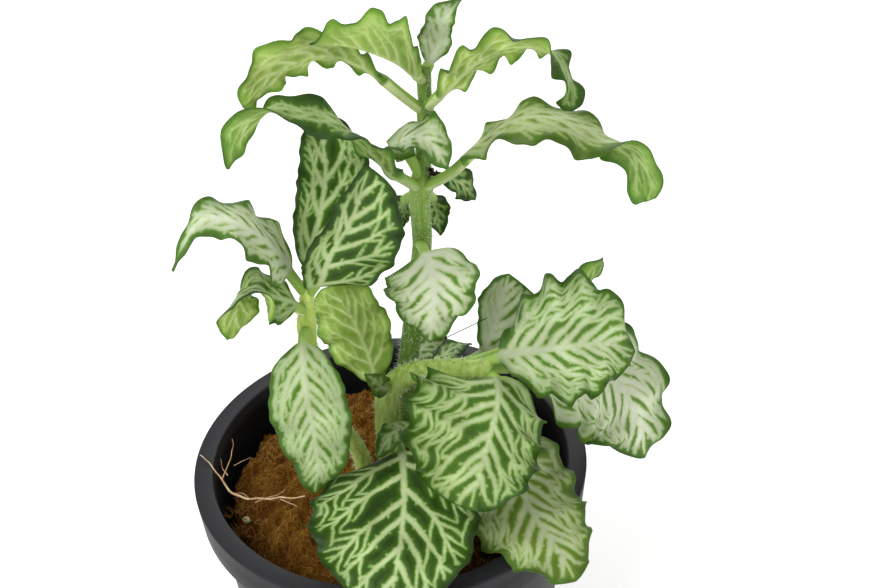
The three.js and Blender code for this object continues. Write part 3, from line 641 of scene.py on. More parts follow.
leaves = {
    "leaf_top_bud": dict(
        rib=[[12, 4, 172], [14, 5.8, 175.5], [15.6, 7, 178.5], [16.5, 7.5, 182], [20, 9, 185]],
        wide=[4.5, 2.5],
        faces=[[0.2, -1, 0.3]] * 3,
        fold=[15, 25], wave=1, waves=2.5, start=0, stalk=0.15, size="small", look="pale", pairs=5,
    ),
    "leaf_top_left": dict(
        rib=[[12, 4, 171], [7, -2, 178], [3, -6, 182], [-1.5, -9, 185], [-5.5, -11, 186.5],
             [-8.5, -12, 187]],
        wide=[7, 3.5],
        faces=[[0, 0.3, 1]] * 3,
        fold=[80, 55], wave=1.2, waves=3.5, start=0.1, stalk=0.1, size="medium", full=[0.6, 0.85],
        look="green", pairs=7,
    ),
    "leaf_upper_left": dict(
        rib=[[11, 4, 165], [7, 2.5, 169.5], [3.5, 1.5, 173.5], [0, 0, 177], [-4, -3, 180.5],
             [-8, -6.5, 182.5], [-12, -10.5, 183], [-16.5, -14, 182], [-21, -17, 178]],
        wide=[5.5, 3],
        faces=[[0, 0.4, 1], [0, 1, 0.2], [-0.2, 1, 0]],
        fold=[0, 0], wave=1.4, waves=5, start=0.3, stalk=0.2, size="medium", full=[1.2, 0.6],
        look="mixed", pairs=8,
    ),
    "leaf_upper_right": dict(
        rib=[[12, 4, 165], [16, 0, 171], [19.5, -4, 176.5], [23.5, -7.5, 181], [27, -10.5, 183.5],
             [31, -12.5, 184], [34.5, -13.5, 182.5], [36.8, -14.5, 178.5], [37.8, -15, 172]],
        wide=[3.6, 4.2],
        faces=[[0, 0.4, 1], [0, 0.8, 0.4], [0, 0.8, 0.4], [0.5, 0.6, 0.6], [1, -0.3, 0.3], [0.4, -1, 0.2]],
        fold=[0, 0], wave=1.5, waves=5.5, start=0, stalk=0.12, size="medium", full=[0.4, 0.35],
        look="mixed", pairs=8,
    ),
    "leaf_middle_left": dict(
        rib=[[10.5, 4, 147], [5, -3, 155], [1.5, -8.5, 162.5], [-1.5, -12, 168], [-4.5, -15, 172.5],
             [-8, -17, 175.5], [-11.5, -19, 177.5], [-15, -21, 179.5], [-18.5, -22.5, 179],
             [-22, -23.5, 176.5], [-24.5, -24, 170]],
        wide=[4.2, 3.8],
        faces=[[0.5, 0.9, 0.5], [0.5, 0.9, 0.5], [0.5, 0.8, 0.4], [0.3, 0.5, 0.8], [0, -0.6, 1],
             [0, -0.8, 1], [-0.3, 1, 0.2], [-0.4, 1, 0.1]],
        fold=[0, 0], wave=1, waves=4.5, start=0.2, stalk=0.15, size="medium", full=[0.5, 0.5],
        look="mixed", pairs=9,
    ),
    "leaf_middle_right": dict(
        rib=[[10.5, 4, 147], [16.5, -3, 154.5], [21.5, -8, 162.5], [25, -12, 168], [29.5, -14.5, 171],
             [34.5, -16, 171], [40, -17, 169], [45, -18, 167], [49, -19, 164.5], [50.5, -20, 160],
             [51, -20.5, 155]],
        wide=[4.6, 5.6],
        faces=[[0, -0.1, 1], [0, -0.2, 1], [0, -0.2, 1], [0, -0.2, 1], [0, -0.3, 1], [0, -0.3, 1],
             [0.5, 0.9, 0.3], [0.5, 0.9, 0.2]],
        fold=[12, -10], tipFold=[-60, -20], wave=1.2, waves=4.5, start=0.5, stalk=0.24, size="medium",
        full=[0.45, 0.3], look="young", pairs=9,
    ),
    "leaf_node_young": dict(
        rib=[[10.5, 3.5, 150], [9, 2.5, 154], [7, 1, 159.5], [9.5, -2, 162], [12, -6, 162.5],
             [15, -9, 158.5]],
        wide=[6, 5],
        faces=[[-0.3, -0.4, 1], [0, -0.5, 1], [0.4, -0.6, 0.6]],
        fold=[10, 10], wave=1, waves=2.5, start=0, stalk=0.28, size="small", look="pale", pairs=6,
    ),
    "leaf_node_back_left": dict(
        rib=[[9.5, 4.5, 146], [6.5, 8.5, 141.5], [5, 10.5, 137], [5, 10.5, 132]],
        wide=[3, 3],
        faces=[[0, -1, 0.5], [0, -1, 0.4], [0, -1, 0.2]],
        fold=[10, 10], wave=0.5, waves=2, start=0, stalk=0.3, size="small", look="green", pairs=4,
    ),
    "leaf_node_back_right": dict(
        rib=[[11, 5, 146], [13, 10.5, 140.5], [14, 13, 135], [14.5, 13, 130]],
        wide=[3, 3],
        faces=[[0, -1, 0.5], [0, -1, 0.4], [0, -1, 0.2]],
        fold=[10, 10], wave=0.5, waves=2, start=0.4, stalk=0.35, size="small", look="green", pairs=4,
    ),
    "leaf_node_side": dict(
        rib=[[11, 4.5, 149.5], [15.5, 8, 147], [19, 10, 144], [22, 11, 139.5]],
        wide=[3.4, 3.4],
        faces=[[0, -0.6, 1], [0, -0.7, 0.8], [0.3, -0.8, 0.5]],
        fold=[10, 10], wave=0.7, waves=2, start=0.2, stalk=0.35, size="small", look="green", pairs=4,
    ),
    "leaf_hanging": dict(
        rib=[[9.5, 4, 134], [10, -2, 136], [11, -6, 133.5], [11.3, -8.5, 128], [10.5, -9.5, 124],
             [10, -10, 118.5]],
        wide=[9.5, 10],
        faces=[[0, -0.4, 1], [0, -1, 0.6], [0, -1, 0.2]],
        fold=[-8, -8], wave=1.6, waves=3.5, start=0.1, stalk=0.28, size="medium", full=[0.35, 0.85],
        look="pale", pairs=7,
    ),
    "leaf_left_tall": dict(
        rib=[[-14, -8.5, 132], [-12.5, -4, 140], [-10, -2.5, 148], [-8.5, -1.5, 155], [-8.5, -1, 162],
             [-9, -1, 168]],
        wide=[5.5, 9],
        faces=[[0, -1, 0.3]] * 3,
        fold=[5, 5], wave=0.7, waves=3.5, start=0, stalk=0.12, size="medium", full=[0.55, 0.5],
        look="green", pairs=5,
    ),
    "leaf_left_round": dict(
        rib=[[-13.5, -9.5, 133], [-10.5, -14, 140], [-8, -16.5, 147], [-4.5, -18, 153], [-2, -19, 160],
             [0, -19.5, 166]],
        wide=[6, 11.5],
        faces=[[0.2, -1, 0.3], [0.1, -1, 0.35], [0, -1, 0.4]],
        fold=[35, 0], wave=0.8, waves=3.5, start=0.2, stalk=0.14, size="medium", full=[0.38, 0.6],
        look="green", pairs=6,
    ),
    "leaf_left_arching": dict(
        rib=[[-15, -9.5, 133.5], [-17, -12, 139.5], [-19.5, -14.5, 147], [-22.5, -17, 152.5],
             [-26.5, -19, 156.5], [-30.5, -20.5, 158], [-33.5, -21.5, 155.5], [-37.5, -22, 148.5]],
        wide=[6.8, 8],
        faces=[[-0.4, -0.5, 1], [0, -0.2, 1], [-0.3, -0.5, 0.8]],
        fold=[-22, 12], wave=1, waves=4, start=0.2, stalk=0.18, size="medium", full=[0.35, 1.4],
        look="pale", pairs=9,
    ),
    "leaf_left_curled": dict(
        rib=[[-15, -10, 128.5], [-18, -14, 134], [-21, -17, 138], [-23.5, -19, 141.5], [-26, -20, 141.5],
             [-27.5, -19.5, 137], [-29, -19, 130]],
        wide=[6.5, 7],
        faces=[[-0.2, -0.5, 1], [0, -0.6, 1], [-0.1, -0.5, 1], [-0.6, 0.4, 0.7], [-0.6, 0.9, 0.1],
             [-0.5, 0.9, 0.1]],
        fold=[-20, 0], wave=0.7, waves=3.5, start=0.4, stalk=0.15, size="medium", full=[0.5, 0.6],
        look="mixed", pairs=6,
    ),
    "leaf_left_hanging": dict(
        rib=[[-15, -10, 124.5], [-15.5, -15, 126], [-16, -20, 120], [-15.5, -23, 113], [-15, -24, 107],
             [-15, -24.5, 99.5], [-16.5, -24.5, 92.5]],
        wide=[8, 8],
        faces=[[0, -0.2, 1], [0, -1, 0.4], [0, -1, 0.1]],
        fold=[-6, -6], wave=0.8, waves=4, start=0, stalk=0.16, size="medium", full=[0.5, 0.7],
        look="cream", pairs=11,
    ),
    "leaf_crown_upright": dict(
        rib=[[0, -3, 99], [-2, 0, 104], [-4, 1.5, 111.5], [-6.5, 3, 118.5], [-10, 4, 125]],
        wide=[7, 8.5],
        faces=[[-0.1, 1, 0.3]] * 3,
        fold=[8, 5], wave=1.1, waves=3.5, start=0.3, stalk=0.14, size="medium", full=[0.55, 0.4],
        look="green", pairs=6,
    ),
    "leaf_right_large": dict(
        rib=[[22, -7.3, 110], [26.5, -8.2, 112], [33, -9.4, 113.5], [39.5, -10.3, 114.5],
             [46, -10.8, 115], [53, -11, 112.5]],
        wide=[16, 13],
        faces=[[0, -0.5, 1], [0.1, -0.6, 1], [0.4, -0.6, 0.8]],
        fold=[8, 10], wave=2, waves=5, start=0, stalk=0.08, size="large", full=[0.9, 0.85],
        look="cream", pairs=9,
    ),
    "leaf_right_drooping": dict(
        rib=[[20, -7, 108], [30, -2, 103.5], [39.5, 2, 100], [48, 4, 96], [53.5, 3.5, 91.5],
             [56.5, 2, 86], [58.5, 0, 80.5], [59, -2, 74]],
        wide=[14.5, 16.5],
        faces=[[0, -0.3, 1], [0.5, -0.4, 0.8], [0.5, -1, 0.2]],
        fold=[0, -5], wave=2.2, waves=5.5, start=0.3, stalk=0.2, size="large", full=[0.6, 0.75],
        look="pale", pairs=10,
    ),
    "leaf_right_upper": dict(
        rib=[[18, -6.5, 109.5], [25, -3, 109], [32, -1, 109.5], [39.5, 5, 110.5], [45, 9.5, 113],
             [47.5, 10.5, 118], [50, 11, 122]],
        wide=[4, 3.5],
        faces=[[0, 1, 0.6], [-0.3, 1, 0.5], [-0.5, 1, 0.3]],
        fold=[20, 20], wave=1, waves=3, start=0.2, stalk=0.45, size="medium", full=[0.7, 0.4],
        look="green", pairs=5,
    ),
    "leaf_right_back": dict(
        rib=[[14, -6, 108.5], [22, 6, 102.5], [25.5, 10.5, 106], [27.5, 13, 111], [29.5, 14.5, 117.5]],
        wide=[5, 9.4],
        faces=[[0, -1, 0.5], [0, -1, 0.6], [-0.2, -1, 0.6]],
        fold=[0, -10], wave=1.2, waves=3, start=0, stalk=0.38, size="medium", full=[1.4, 0.8],
        look="pale", pairs=7,
    ),
    "leaf_back_small": dict(
        rib=[[4.5, 4, 98], [8, 11, 100.5], [12, 15, 99.5], [17, 17, 95]],
        wide=[4, 4],
        faces=[[0, -0.4, 1], [0.1, -0.5, 1], [0.3, -0.6, 0.8]],
        fold=[0, 0], wave=0.7, waves=3, start=0, stalk=0.2, size="small", look="cream", pairs=4,
    ),
    "leaf_back_tiny": dict(
        rib=[[9, -5.5, 107.5], [13, 1, 106], [16.5, 5, 105.5], [20, 7.5, 104]],
        wide=[2.8, 2.8],
        faces=[[0, -0.2, 1], [0, -0.2, 1], [0, 0.2, 1]],
        fold=[5, 5], wave=0.5, waves=2, start=0, stalk=0.3, size="small", look="green", pairs=4,
    ),
    "leaf_front_centre": dict(
        rib=[[22, -7.5, 108], [23.5, -11.5, 108.3], [23.4, -16.5, 108.2], [22.2, -21.5, 107.6],
             [20.5, -26, 105.8], [18.5, -30.5, 103], [16.4, -34.5, 99.5], [15, -37, 96]],
        wide=[13, 19],
        faces=[[0, -0.3, 1], [0, -0.6, 0.8], [-0.2, -0.8, 0.5]],
        fold=[-35, 20], tipFold=[0, 0], wave=2.2, waves=5, start=0.1, stalk=0.12, size="large",
        full=[0.33, 0.5], look="mixed", pairs=8,
    ),
    "leaf_front_large": dict(
        rib=[[1, -4, 90], [2.4, -15, 92.5], [2.4, -23, 93], [1.9, -30, 91.5], [1.1, -36, 90.5],
             [0, -41.5, 89], [-1.5, -47, 86.5], [-2.7, -51, 83.5]],
        wide=[15.5, 19.5],
        faces=[[0, -0.3, 1], [0, -0.5, 1], [0, -0.7, 1]],
        fold=[-3, -3], wave=0.8, waves=4.5, start=0, stalk=0.22, size="large", full=[0.5, 0.6],
        look="green", pairs=6,
    ),
    "leaf_front_right": dict(
        rib=[[17, -7, 107.5], [23, -12, 96.5], [26, -18, 88.5], [28.5, -25.5, 84.5], [31, -32.5, 83.5],
             [33.5, -39, 82.5], [35.5, -44, 80.5]],
        wide=[12.5, 14.5],
        faces=[[0.5, -0.6, 0.6], [0.2, -0.4, 1], [0.3, -0.5, 1]],
        fold=[0, -10], wave=1.4, waves=5, start=0.4, stalk=0.32, size="large", full=[0.3, 0.6],
        look="young", pairs=9,
    ),
    "leaf_crown_front": dict(
        rib=[[0.5, -4, 92], [2, -11, 96.5], [0, -15, 98], [-3, -19, 96]],
        wide=[3.5, 3],
        faces=[[0, -0.2, 1], [0, -0.6, 1], [-0.2, -0.8, 0.8]],
        fold=[0, 0], wave=0.7, waves=2, start=0, stalk=0.25, size="small", look="cream", pairs=4,
    ),
    "leaf_crown_striped": dict(
        rib=[[7, -5, 107], [9, -10, 107.5], [11, -13, 104.5], [14, -15, 100]],
        wide=[4, 4],
        faces=[[0, -0.3, 1], [0, -0.6, 1], [0, -0.8, 0.8]],
        fold=[0, 0], wave=0.5, waves=2, start=0, stalk=0.2, size="small", look="cream", pairs=5,
    ),
    "leaf_crown_bud": dict(
        rib=[[1, -4, 103], [-1, -9, 107], [-2, -11, 110.5], [-4, -12, 113]],
        wide=[2.6, 2.6],
        faces=[[0.3, -1, 0.5], [0.2, -1, 0.5], [0.2, -1, 0.5]],
        fold=[10, 10], wave=0.4, waves=2, start=0, stalk=0.25, size="small", look="young", pairs=3,
    ),
}

# cells across and along a blade
leaf_cells = {"large": (132, 190), "medium": (64, 110), "small": (32, 56)}
usual_full = (0.55, 0.85)  # for a leaf that gives no full
blade_half = 0.2  # half the blade's thickness
stalk_radius = 1.1
stalk_blend = 0.25  # share of the blade along which the stalk flattens out
opening = 3  # the fold and the waves are full where the outline has a third of its width
tip_half = 0.3  # the least half width
scallop = 0.07  # how far the outline swings in and out with its waves, as a share of the width
fine_waves = 2.6  # small ripples for each wave of the margin
ripple = 0.14  # their height, as a share of the wave
tooth = 0.14  # how far the same ripples push the margin out, in mm
keel = 0.5  # mm that the rib stands out below, at the base, and how wide it is there
keel_half = 0.9
margin_thin = 0.6  # share of its thickness that the blade loses at the margin
plain_border = 0.7  # share of a border that no vein enters
quilt = 0.32  # mm that the green cells stand up between the veins
quilt_reach = 0.9  # mm from a vein within which they rise
vein_ridge = 0.14  # mm that the side veins stand out below

# Half widths of the veins in mm on a large leaf. border: mm of plain green along the margin.
# pitch: mm between a side vein's branches. lean: their angle to it, in degrees.
vein_styles = {
    "green": dict(rib=1.0, side=0.66, branch=0.34, border=1.9, pitch=2.7, lean=38),
    "mixed": dict(rib=1.1, side=0.74, branch=0.42, border=1.8, pitch=2.4, lean=34),
    "cream": dict(rib=1.4, side=0.8, branch=0.42, border=1.8, pitch=2.3, lean=28),
    "pale": dict(rib=1.8, side=1.14, branch=0.62, border=1.7, pitch=2.3, lean=28),
    "young": dict(rib=1.4, side=0.8, branch=0.42, border=1.8, pitch=2.3, lean=28),
}
vein_step = 0.5
turn_in = math.radians(50)
last_vein = 0.9  # where the last side vein starts, as a share of the blade, and how they crowd to the base
vein_crowding = 1.1
base_angle, tip_angle = 84, 34  # degrees between a side vein and the rib
base_bend, tip_bend = 28, 12  # degrees that a side vein turns towards the tip on its way out
spur_zone = 0.32  # within this share of the half width there are only short spurs
spur_lean = 20  # degrees that they stand off more than the branches
steady = (-0.16, -0.08, 0, 0.08, 0.16)  # shares of the rib over which its way is evened out
vein_sway = 0.2  # mm that the veins wander, over lengths of about 2.4 mm
sway_length = 2.4
leaf_seed = 40


def drift(place, length):
    """A steady wander in x, y and z, from -1 to 1, with bumps of about the length given in mm."""
    at = Vector(place) / length
    return [noise.noise(at + Vector(shift)) for shift in ((0, 0, 0), (31.4, 0, 0), (0, 57.7, 0))]


def smooth(x):
    """A soft step from 0 to 1."""
    x = np.clip(x, 0, 1)
    return x * x * (3 - 2 * x)


def outline(share, full):
    """The blade's half width at a share of its length, as a share of the greatest."""
    base, tip = full
    peak = base / (base + tip)
    share = np.clip(share, 0, 1)
    return (share / peak) ** base * ((1 - share) / (1 - peak)) ** tip


def grow_vein(x, y, angle, bend, limit, blade, side, border, others=None):
    """One vein, from its start until it meets another or nears the margin; x is its distance from the rib."""
    base, tip = blade["full"]
    line = [(x, y)]
    while len(line) * vein_step < limit:
        angle -= bend * vein_step
        x += vein_step * math.sin(angle)
        y += vein_step * math.cos(angle)
        edge = blade["wide"][side] * float(outline(y / blade["length"], blade["full"])) - border
        if x > edge > 0 and y < blade["length"] * base / (base + tip):
            angle = min(angle, turn_in)  # the basal margin turns it towards the tip
            x = edge
        if x > edge or x < 0 or y < 0:
            break
        line.append((x, y))
        if others is not None and np.min(np.hypot(*(others - (x, y)).T)) < 0.6 * vein_step:
            break
    return line


def fineness(wide):
    """Smaller leaves have finer veins."""
    return min(1, 0.42 + max(wide) / 24)


def vein_net(leaf, blade, chance):
    """All veins of a flattened blade, as straight pieces: x, y and half width at each end."""
    style = vein_styles[leaf["look"]]
    length, wide = blade["length"], blade["wide"]
    fine = fineness(wide)
    border = style["border"] * fine
    pieces = []

    def lay(line, half, mirror, taper):
        last = max(len(line) - 1, 1)
        for k, (start, end) in enumerate(zip(line, line[1:])):
            widths = [half * fine * (1 - taper * (k + j) / last) for j in (0, 1)]
            pieces.append((mirror * start[0], start[1], mirror * end[0], end[1], *widths))

    lay([(0, y) for y in np.linspace(-blade["bare"], 0.97 * length, 60)], style["rib"], 1, 0.85)
    every = style["pitch"] * fine
    count = leaf["pairs"]
    for side, mirror in ((0, -1), (1, 1)):
        sides = []
        for i in range(count):
            share = max(0, i + 0.45 * side + chance.uniform(-0.15, 0.15)) / count
            start = length * max(0.004, last_vein * share ** vein_crowding)
            slender = min(1, 0.5 + 1.2 * wide[side] / length)  # on slender leaves they keep near the rib
            lean = slender * (base_angle - (base_angle - tip_angle) * share ** 0.5)
            angle = math.radians(lean + chance.uniform(-4, 4))
            bend = math.radians(tip_bend + (base_bend - tip_bend) * (1 - share)) / wide[side]
            sides.append(grow_vein(0, start, angle, bend, 3 * wide[side], blade, side, border))
        laid = [np.array(line) for line in sides]
        for i, line in enumerate(sides):
            lay(line, style["side"], mirror, 0.65)
            run = {1: chance.uniform(0.6, 1) * every, -1: chance.uniform(1.2, 2) * every}
            for (ax, ay), (bx, by) in zip(line, line[1:]):
                edge = wide[side] * float(outline(ay / length, blade["full"]))
                for way in (1, -1):
                    run[way] -= vein_step
                    if run[way] > 0:
                        continue
                    run[way] = every * chance.uniform(0.8, 1.2) * (1 if way > 0 else 1.7)
                    inner = ax < spur_zone * edge
                    reach = chance.uniform(0.6, 1.6) if inner else (0.7 if way > 0 else 0.4) * wide[side]
                    heading = math.atan2(bx - ax, by - ay)
                    lean = style["lean"] + (spur_lean if inner else 0) + chance.uniform(-6, 6)
                    turn = way * math.radians(lean)
                    others = np.vstack([other for k, other in enumerate(laid) if k != i])
                    branch = grow_vein(ax, ay, heading + turn, 0.03 * way, reach, blade, side,
                                       0.6 * border, others)
                    if len(branch) > 1:
                        lay(branch, style["branch"] * (0.7 if inner else 1), mirror, 0.6)
                        laid.append(np.array(branch[4:] or branch[-1:]))
    return np.array(pieces, np.float32)


def vein_distance(x, y, pieces):
    """Distance in mm from each point to the edge of the nearest vein; it is negative inside a vein."""
    nearest = np.full(len(x), 9, np.float32)
    x, y = x.astype(np.float32), y.astype(np.float32)
    for ax, ay, bx, by, start, end in pieces:
        near = np.abs(y - (ay + by) / 2) < 4
        px, py = x[near] - ax, y[near] - ay
        dx, dy = bx - ax, by - ay
        t = np.clip((px * dx + py * dy) / max(dx * dx + dy * dy, 1e-6), 0, 1)
        away = np.hypot(px - t * dx, py - t * dy) - (start + (end - start) * t)
        nearest[near] = np.minimum(nearest[near], away)
    return nearest


def rib_ways(path, ways, share):
    """The directions to the right and up from the rib, where the upper face looks these ways along it."""
    along = unit(sum(path.along(share + shift) for shift in steady))
    faces = unit(np.array(ways, float))
    place = share * (len(faces) - 1)
    k = np.minimum(place.astype(int), len(faces) - 2)
    face = faces[k] + (faces[k + 1] - faces[k]) * smooth(place - k)[:, None]
    up = unit(face - along * np.sum(face * along, axis=1)[:, None])
    return np.cross(along, up), up


def leaf_places(leaf, path, share, v, lower, veins):
    """Where a leaf's points lie: at shares of the rib, across from -1 to 1, on the upper or lower face."""
    full = leaf.get("full", usual_full)
    stalk = leaf["stalk"]
    right, up = rib_ways(path, leaf["faces"], share)
    blade_share = np.clip((share - stalk) / (1 - stalk), 0, 1)
    side = (v >= 0).astype(int)
    off = np.abs(v)
    open_width = outline(blade_share, full)
    spread = np.minimum(open_width * opening, 1)
    solid = 1 - smooth(blade_share / stalk_blend)
    beat = 2 * math.pi * (leaf["waves"] * blade_share + leaf["start"] + 0.5 * side)
    swing = scallop * min(1, leaf["wave"] / 2)  # calmer margins also swing out less
    half = np.array(leaf["wide"])[side] * open_width * (1 + swing * spread * np.cos(beat))
    half = half + tooth * spread * (1 - solid) * np.cos(fine_waves * beat + 2 * side) * open_width
    half = np.maximum(half, stalk_radius * solid + tip_half * (1 - solid))
    fold = np.array(leaf["fold"], float)[side]
    tip_fold = np.array(leaf.get("tipFold", leaf["fold"]), float)[side]
    angle = np.radians(fold + (tip_fold - fold) * blade_share ** 2) * spread
    swell = off ** 2 * np.sin(beat) + ripple * off ** 4 * np.sin(fine_waves * beat + side)
    lift = off * half * np.sin(angle) + spread * leaf["wave"] * swell
    cells = spread * (1 - solid) * quilt * (1 - np.exp(-np.maximum(veins, 0) / quilt_reach)) * (1 - off ** 6)
    stem_part = stalk_radius * np.sqrt(np.maximum(1 - 0.97 * off ** 2, 0))
    thin = blade_half * (1 - margin_thin * off ** 8)
    thick = thin + (np.maximum(stem_part, thin) - thin) * solid
    from_rib = off * half
    ridge = keel * (1 - blade_share) * np.exp(-(from_rib / keel_half) ** 2)
    ridge = ridge + vein_ridge * spread / (1 + np.exp(np.clip(veins / 0.1, -20, 20))) * (1 - off ** 4)
    shift = np.where(lower, -thick - ridge * (1 - solid), thick) + cells
    flat = right * (np.sign(v) * from_rib * np.cos(angle))[:, None]
    return path.at(share) + flat + up * (lift + shift)[:, None]


def uneven(tree, place, distance, grain, reach):
    """A distance in mm, made to wander by up to the reach, in patches of about the grain's size."""
    patches = add_node(tree, "TexNoise", {"Vector": place, "Scale": 1 / (grain * MM), "Detail": 4,
                                          "Roughness": 0.6})
    shift = add_node(tree, "MapRange", {"Value": patches.outputs["Fac"], "To Min": -reach, "To Max": reach})
    edge = add_node(tree, "Math", {0: distance, 1: shift.outputs["Result"]}, operation="ADD")
    return edge.outputs["Value"]


def shaded(tree, colour, share, stops):
    """A colour, darkened by the greys that a share picks from the stops."""
    grey = add_node(tree, "ValToRGB", {"Fac": share}, stops=stops)
    both = add_node(tree, "Mix", {0: 1, 6: colour, 7: grey.outputs["Color"]},
                    data_type="RGBA", blend_type="MULTIPLY")
    return both.outputs[2]


def leaf_material(name, deep, bright, fringe, vein, core):
    """A leaf's upper face: satin, quilted, deep green in the cells and paler towards the cream veins."""
    material, tree, shader = new_material(name, specular_ior_level=0.22, subsurface_weight=0.12,
                                          subsurface_scale=0.5 * MM)
    shader.inputs["Subsurface Radius"].default_value = (0.8, 1, 0.2)
    place = add_node(tree, "TexCoord").outputs["Object"]
    veins = add_node(tree, "Attribute", attribute_name="vein_distance").outputs["Fac"]
    stalks = add_node(tree, "Attribute", attribute_name="stalk").outputs["Fac"]
    margins = add_node(tree, "Attribute", attribute_name="margin").outputs["Fac"]
    # from 1 mm inside a vein to 2 mm out in a cell
    step = add_node(tree, "MapRange", {"Value": uneven(tree, place, veins, 0.8, 0.3), "From Min": -1,
                                       "From Max": 2})
    tint = add_node(tree, "ValToRGB", {"Fac": step.outputs["Result"]},
                    stops=[(0.12, core), (0.28, vein), (0.36, fringe), (0.44, bright), (0.8, deep)])
    patches = add_node(tree, "TexNoise", {"Vector": place, "Scale": 1 / (7 * MM), "Detail": 3})
    mottled = shaded(tree, tint.outputs["Color"], patches.outputs["Fac"],
                     [(0.3, "#d4d4cc"), (0.7, "#ffffff")])
    inwards = add_node(tree, "MapRange", {"Value": margins, "From Max": 5})  # mm from the margin
    rimmed = shaded(tree, mottled, inwards.outputs["Result"],
                    [(0.1, "#d2dcd0"), (0.5, "#eef2ea"), (1, "#ffffff")])
    stalked = add_node(tree, "Mix", {0: stalks, 6: rimmed, 7: linear("#8fb052")}, data_type="RGBA")
    cells = add_node(tree, "TexVoronoi", {"Vector": place, "Scale": 1 / (0.35 * MM)})
    skin = add_node(tree, "Bump", {"Height": cells.outputs["Distance"], "Strength": 0.25,
                                   "Distance": 0.06 * MM})
    gloss = add_node(tree, "MapRange", {"Value": step.outputs["Result"], "To Min": 0.55, "To Max": 0.42})
    feed(shader, stalked.outputs[2], skin.outputs["Normal"], gloss.outputs["Result"])
    return material


leaf_faces = {
    "green": leaf_material("glossy_dark_leaf", "#274208", "#3f6316", "#7da04f", "#b4c78d", "#c4d2a6"),
    "mixed": leaf_material("feathered_leaf", "#345710", "#4c701e", "#809f50", "#a5bc7d", "#bccb9f"),
    "cream": leaf_material("cream_leaf", "#3f6119", "#5b802b", "#8dab60", "#b4c795", "#c4d0ad"),
    "pale": leaf_material("pale_leaf", "#486f20", "#688f38", "#a6be7e", "#cedab3", "#dbe2ca"),
    "young": leaf_material("young_leaf", "#506e1c", "#67852b", "#8fa65d", "#abba85", "#b8c39f"),
}


def underside_material(name, vein, fringe, ground, deep, margin):
    """A leaf's lower face: matt, paler green, with lighter raised veins and a thin darker margin."""
    material, tree, shader = new_material(name, roughness=0.62, specular_ior_level=0.2,
                                          subsurface_weight=0.15, subsurface_scale=0.6 * MM)
    shader.inputs["Subsurface Radius"].default_value = (0.4, 1, 0.1)
    place = add_node(tree, "TexCoord").outputs["Object"]
    veins = add_node(tree, "Attribute", attribute_name="vein_distance").outputs["Fac"]
    margins = add_node(tree, "Attribute", attribute_name="margin").outputs["Fac"]
    step = add_node(tree, "MapRange", {"Value": uneven(tree, place, veins, 1.2, 0.25), "From Min": -1,
                                       "From Max": 2})
    tint = add_node(tree, "ValToRGB", {"Fac": step.outputs["Result"]},
                    stops=[(0.19, vein), (0.27, fringe), (0.35, ground), (0.62, deep)])
    edge = add_node(tree, "MapRange", {"Value": uneven(tree, place, margins, 1.2, 0.25), "From Min": 0.9,
                                       "From Max": 0.2})
    edged = add_node(tree, "Mix", {0: edge.outputs["Result"], 6: tint.outputs["Color"],
                                   7: linear(margin)}, data_type="RGBA")
    patches = add_node(tree, "TexNoise", {"Vector": place, "Scale": 1 / (6 * MM), "Detail": 4})
    mottled = shaded(tree, edged.outputs[2], patches.outputs["Fac"], [(0.3, "#cfd4c4"), (0.7, "#ffffff")])
    down = add_node(tree, "TexNoise", {"Vector": place, "Scale": 1 / (0.5 * MM), "Detail": 4})
    nap = add_node(tree, "Bump", {"Height": down.outputs["Fac"], "Strength": 0.3, "Distance": 0.08 * MM})
    feed(shader, mottled, nap.outputs["Normal"])
    return material


lower_face = underside_material("matt_leaf_underside", "#bfcf99", "#a5bd72", "#82a34d", "#688f38", "#4e7a22")
# A lighter, yellower copy of the lower face: painted light, for the top leaves that the lamp behind shines
# through.
backlit_lower_face = underside_material("backlit_leaf_underside", "#d3dfa6", "#c0d386", "#a3be60", "#88a946",
                                      "#648c2c")
backlit_leaves = ("leaf_top_left", "leaf_upper_left", "leaf_upper_right", "leaf_crown_upright",
                "leaf_left_curled")


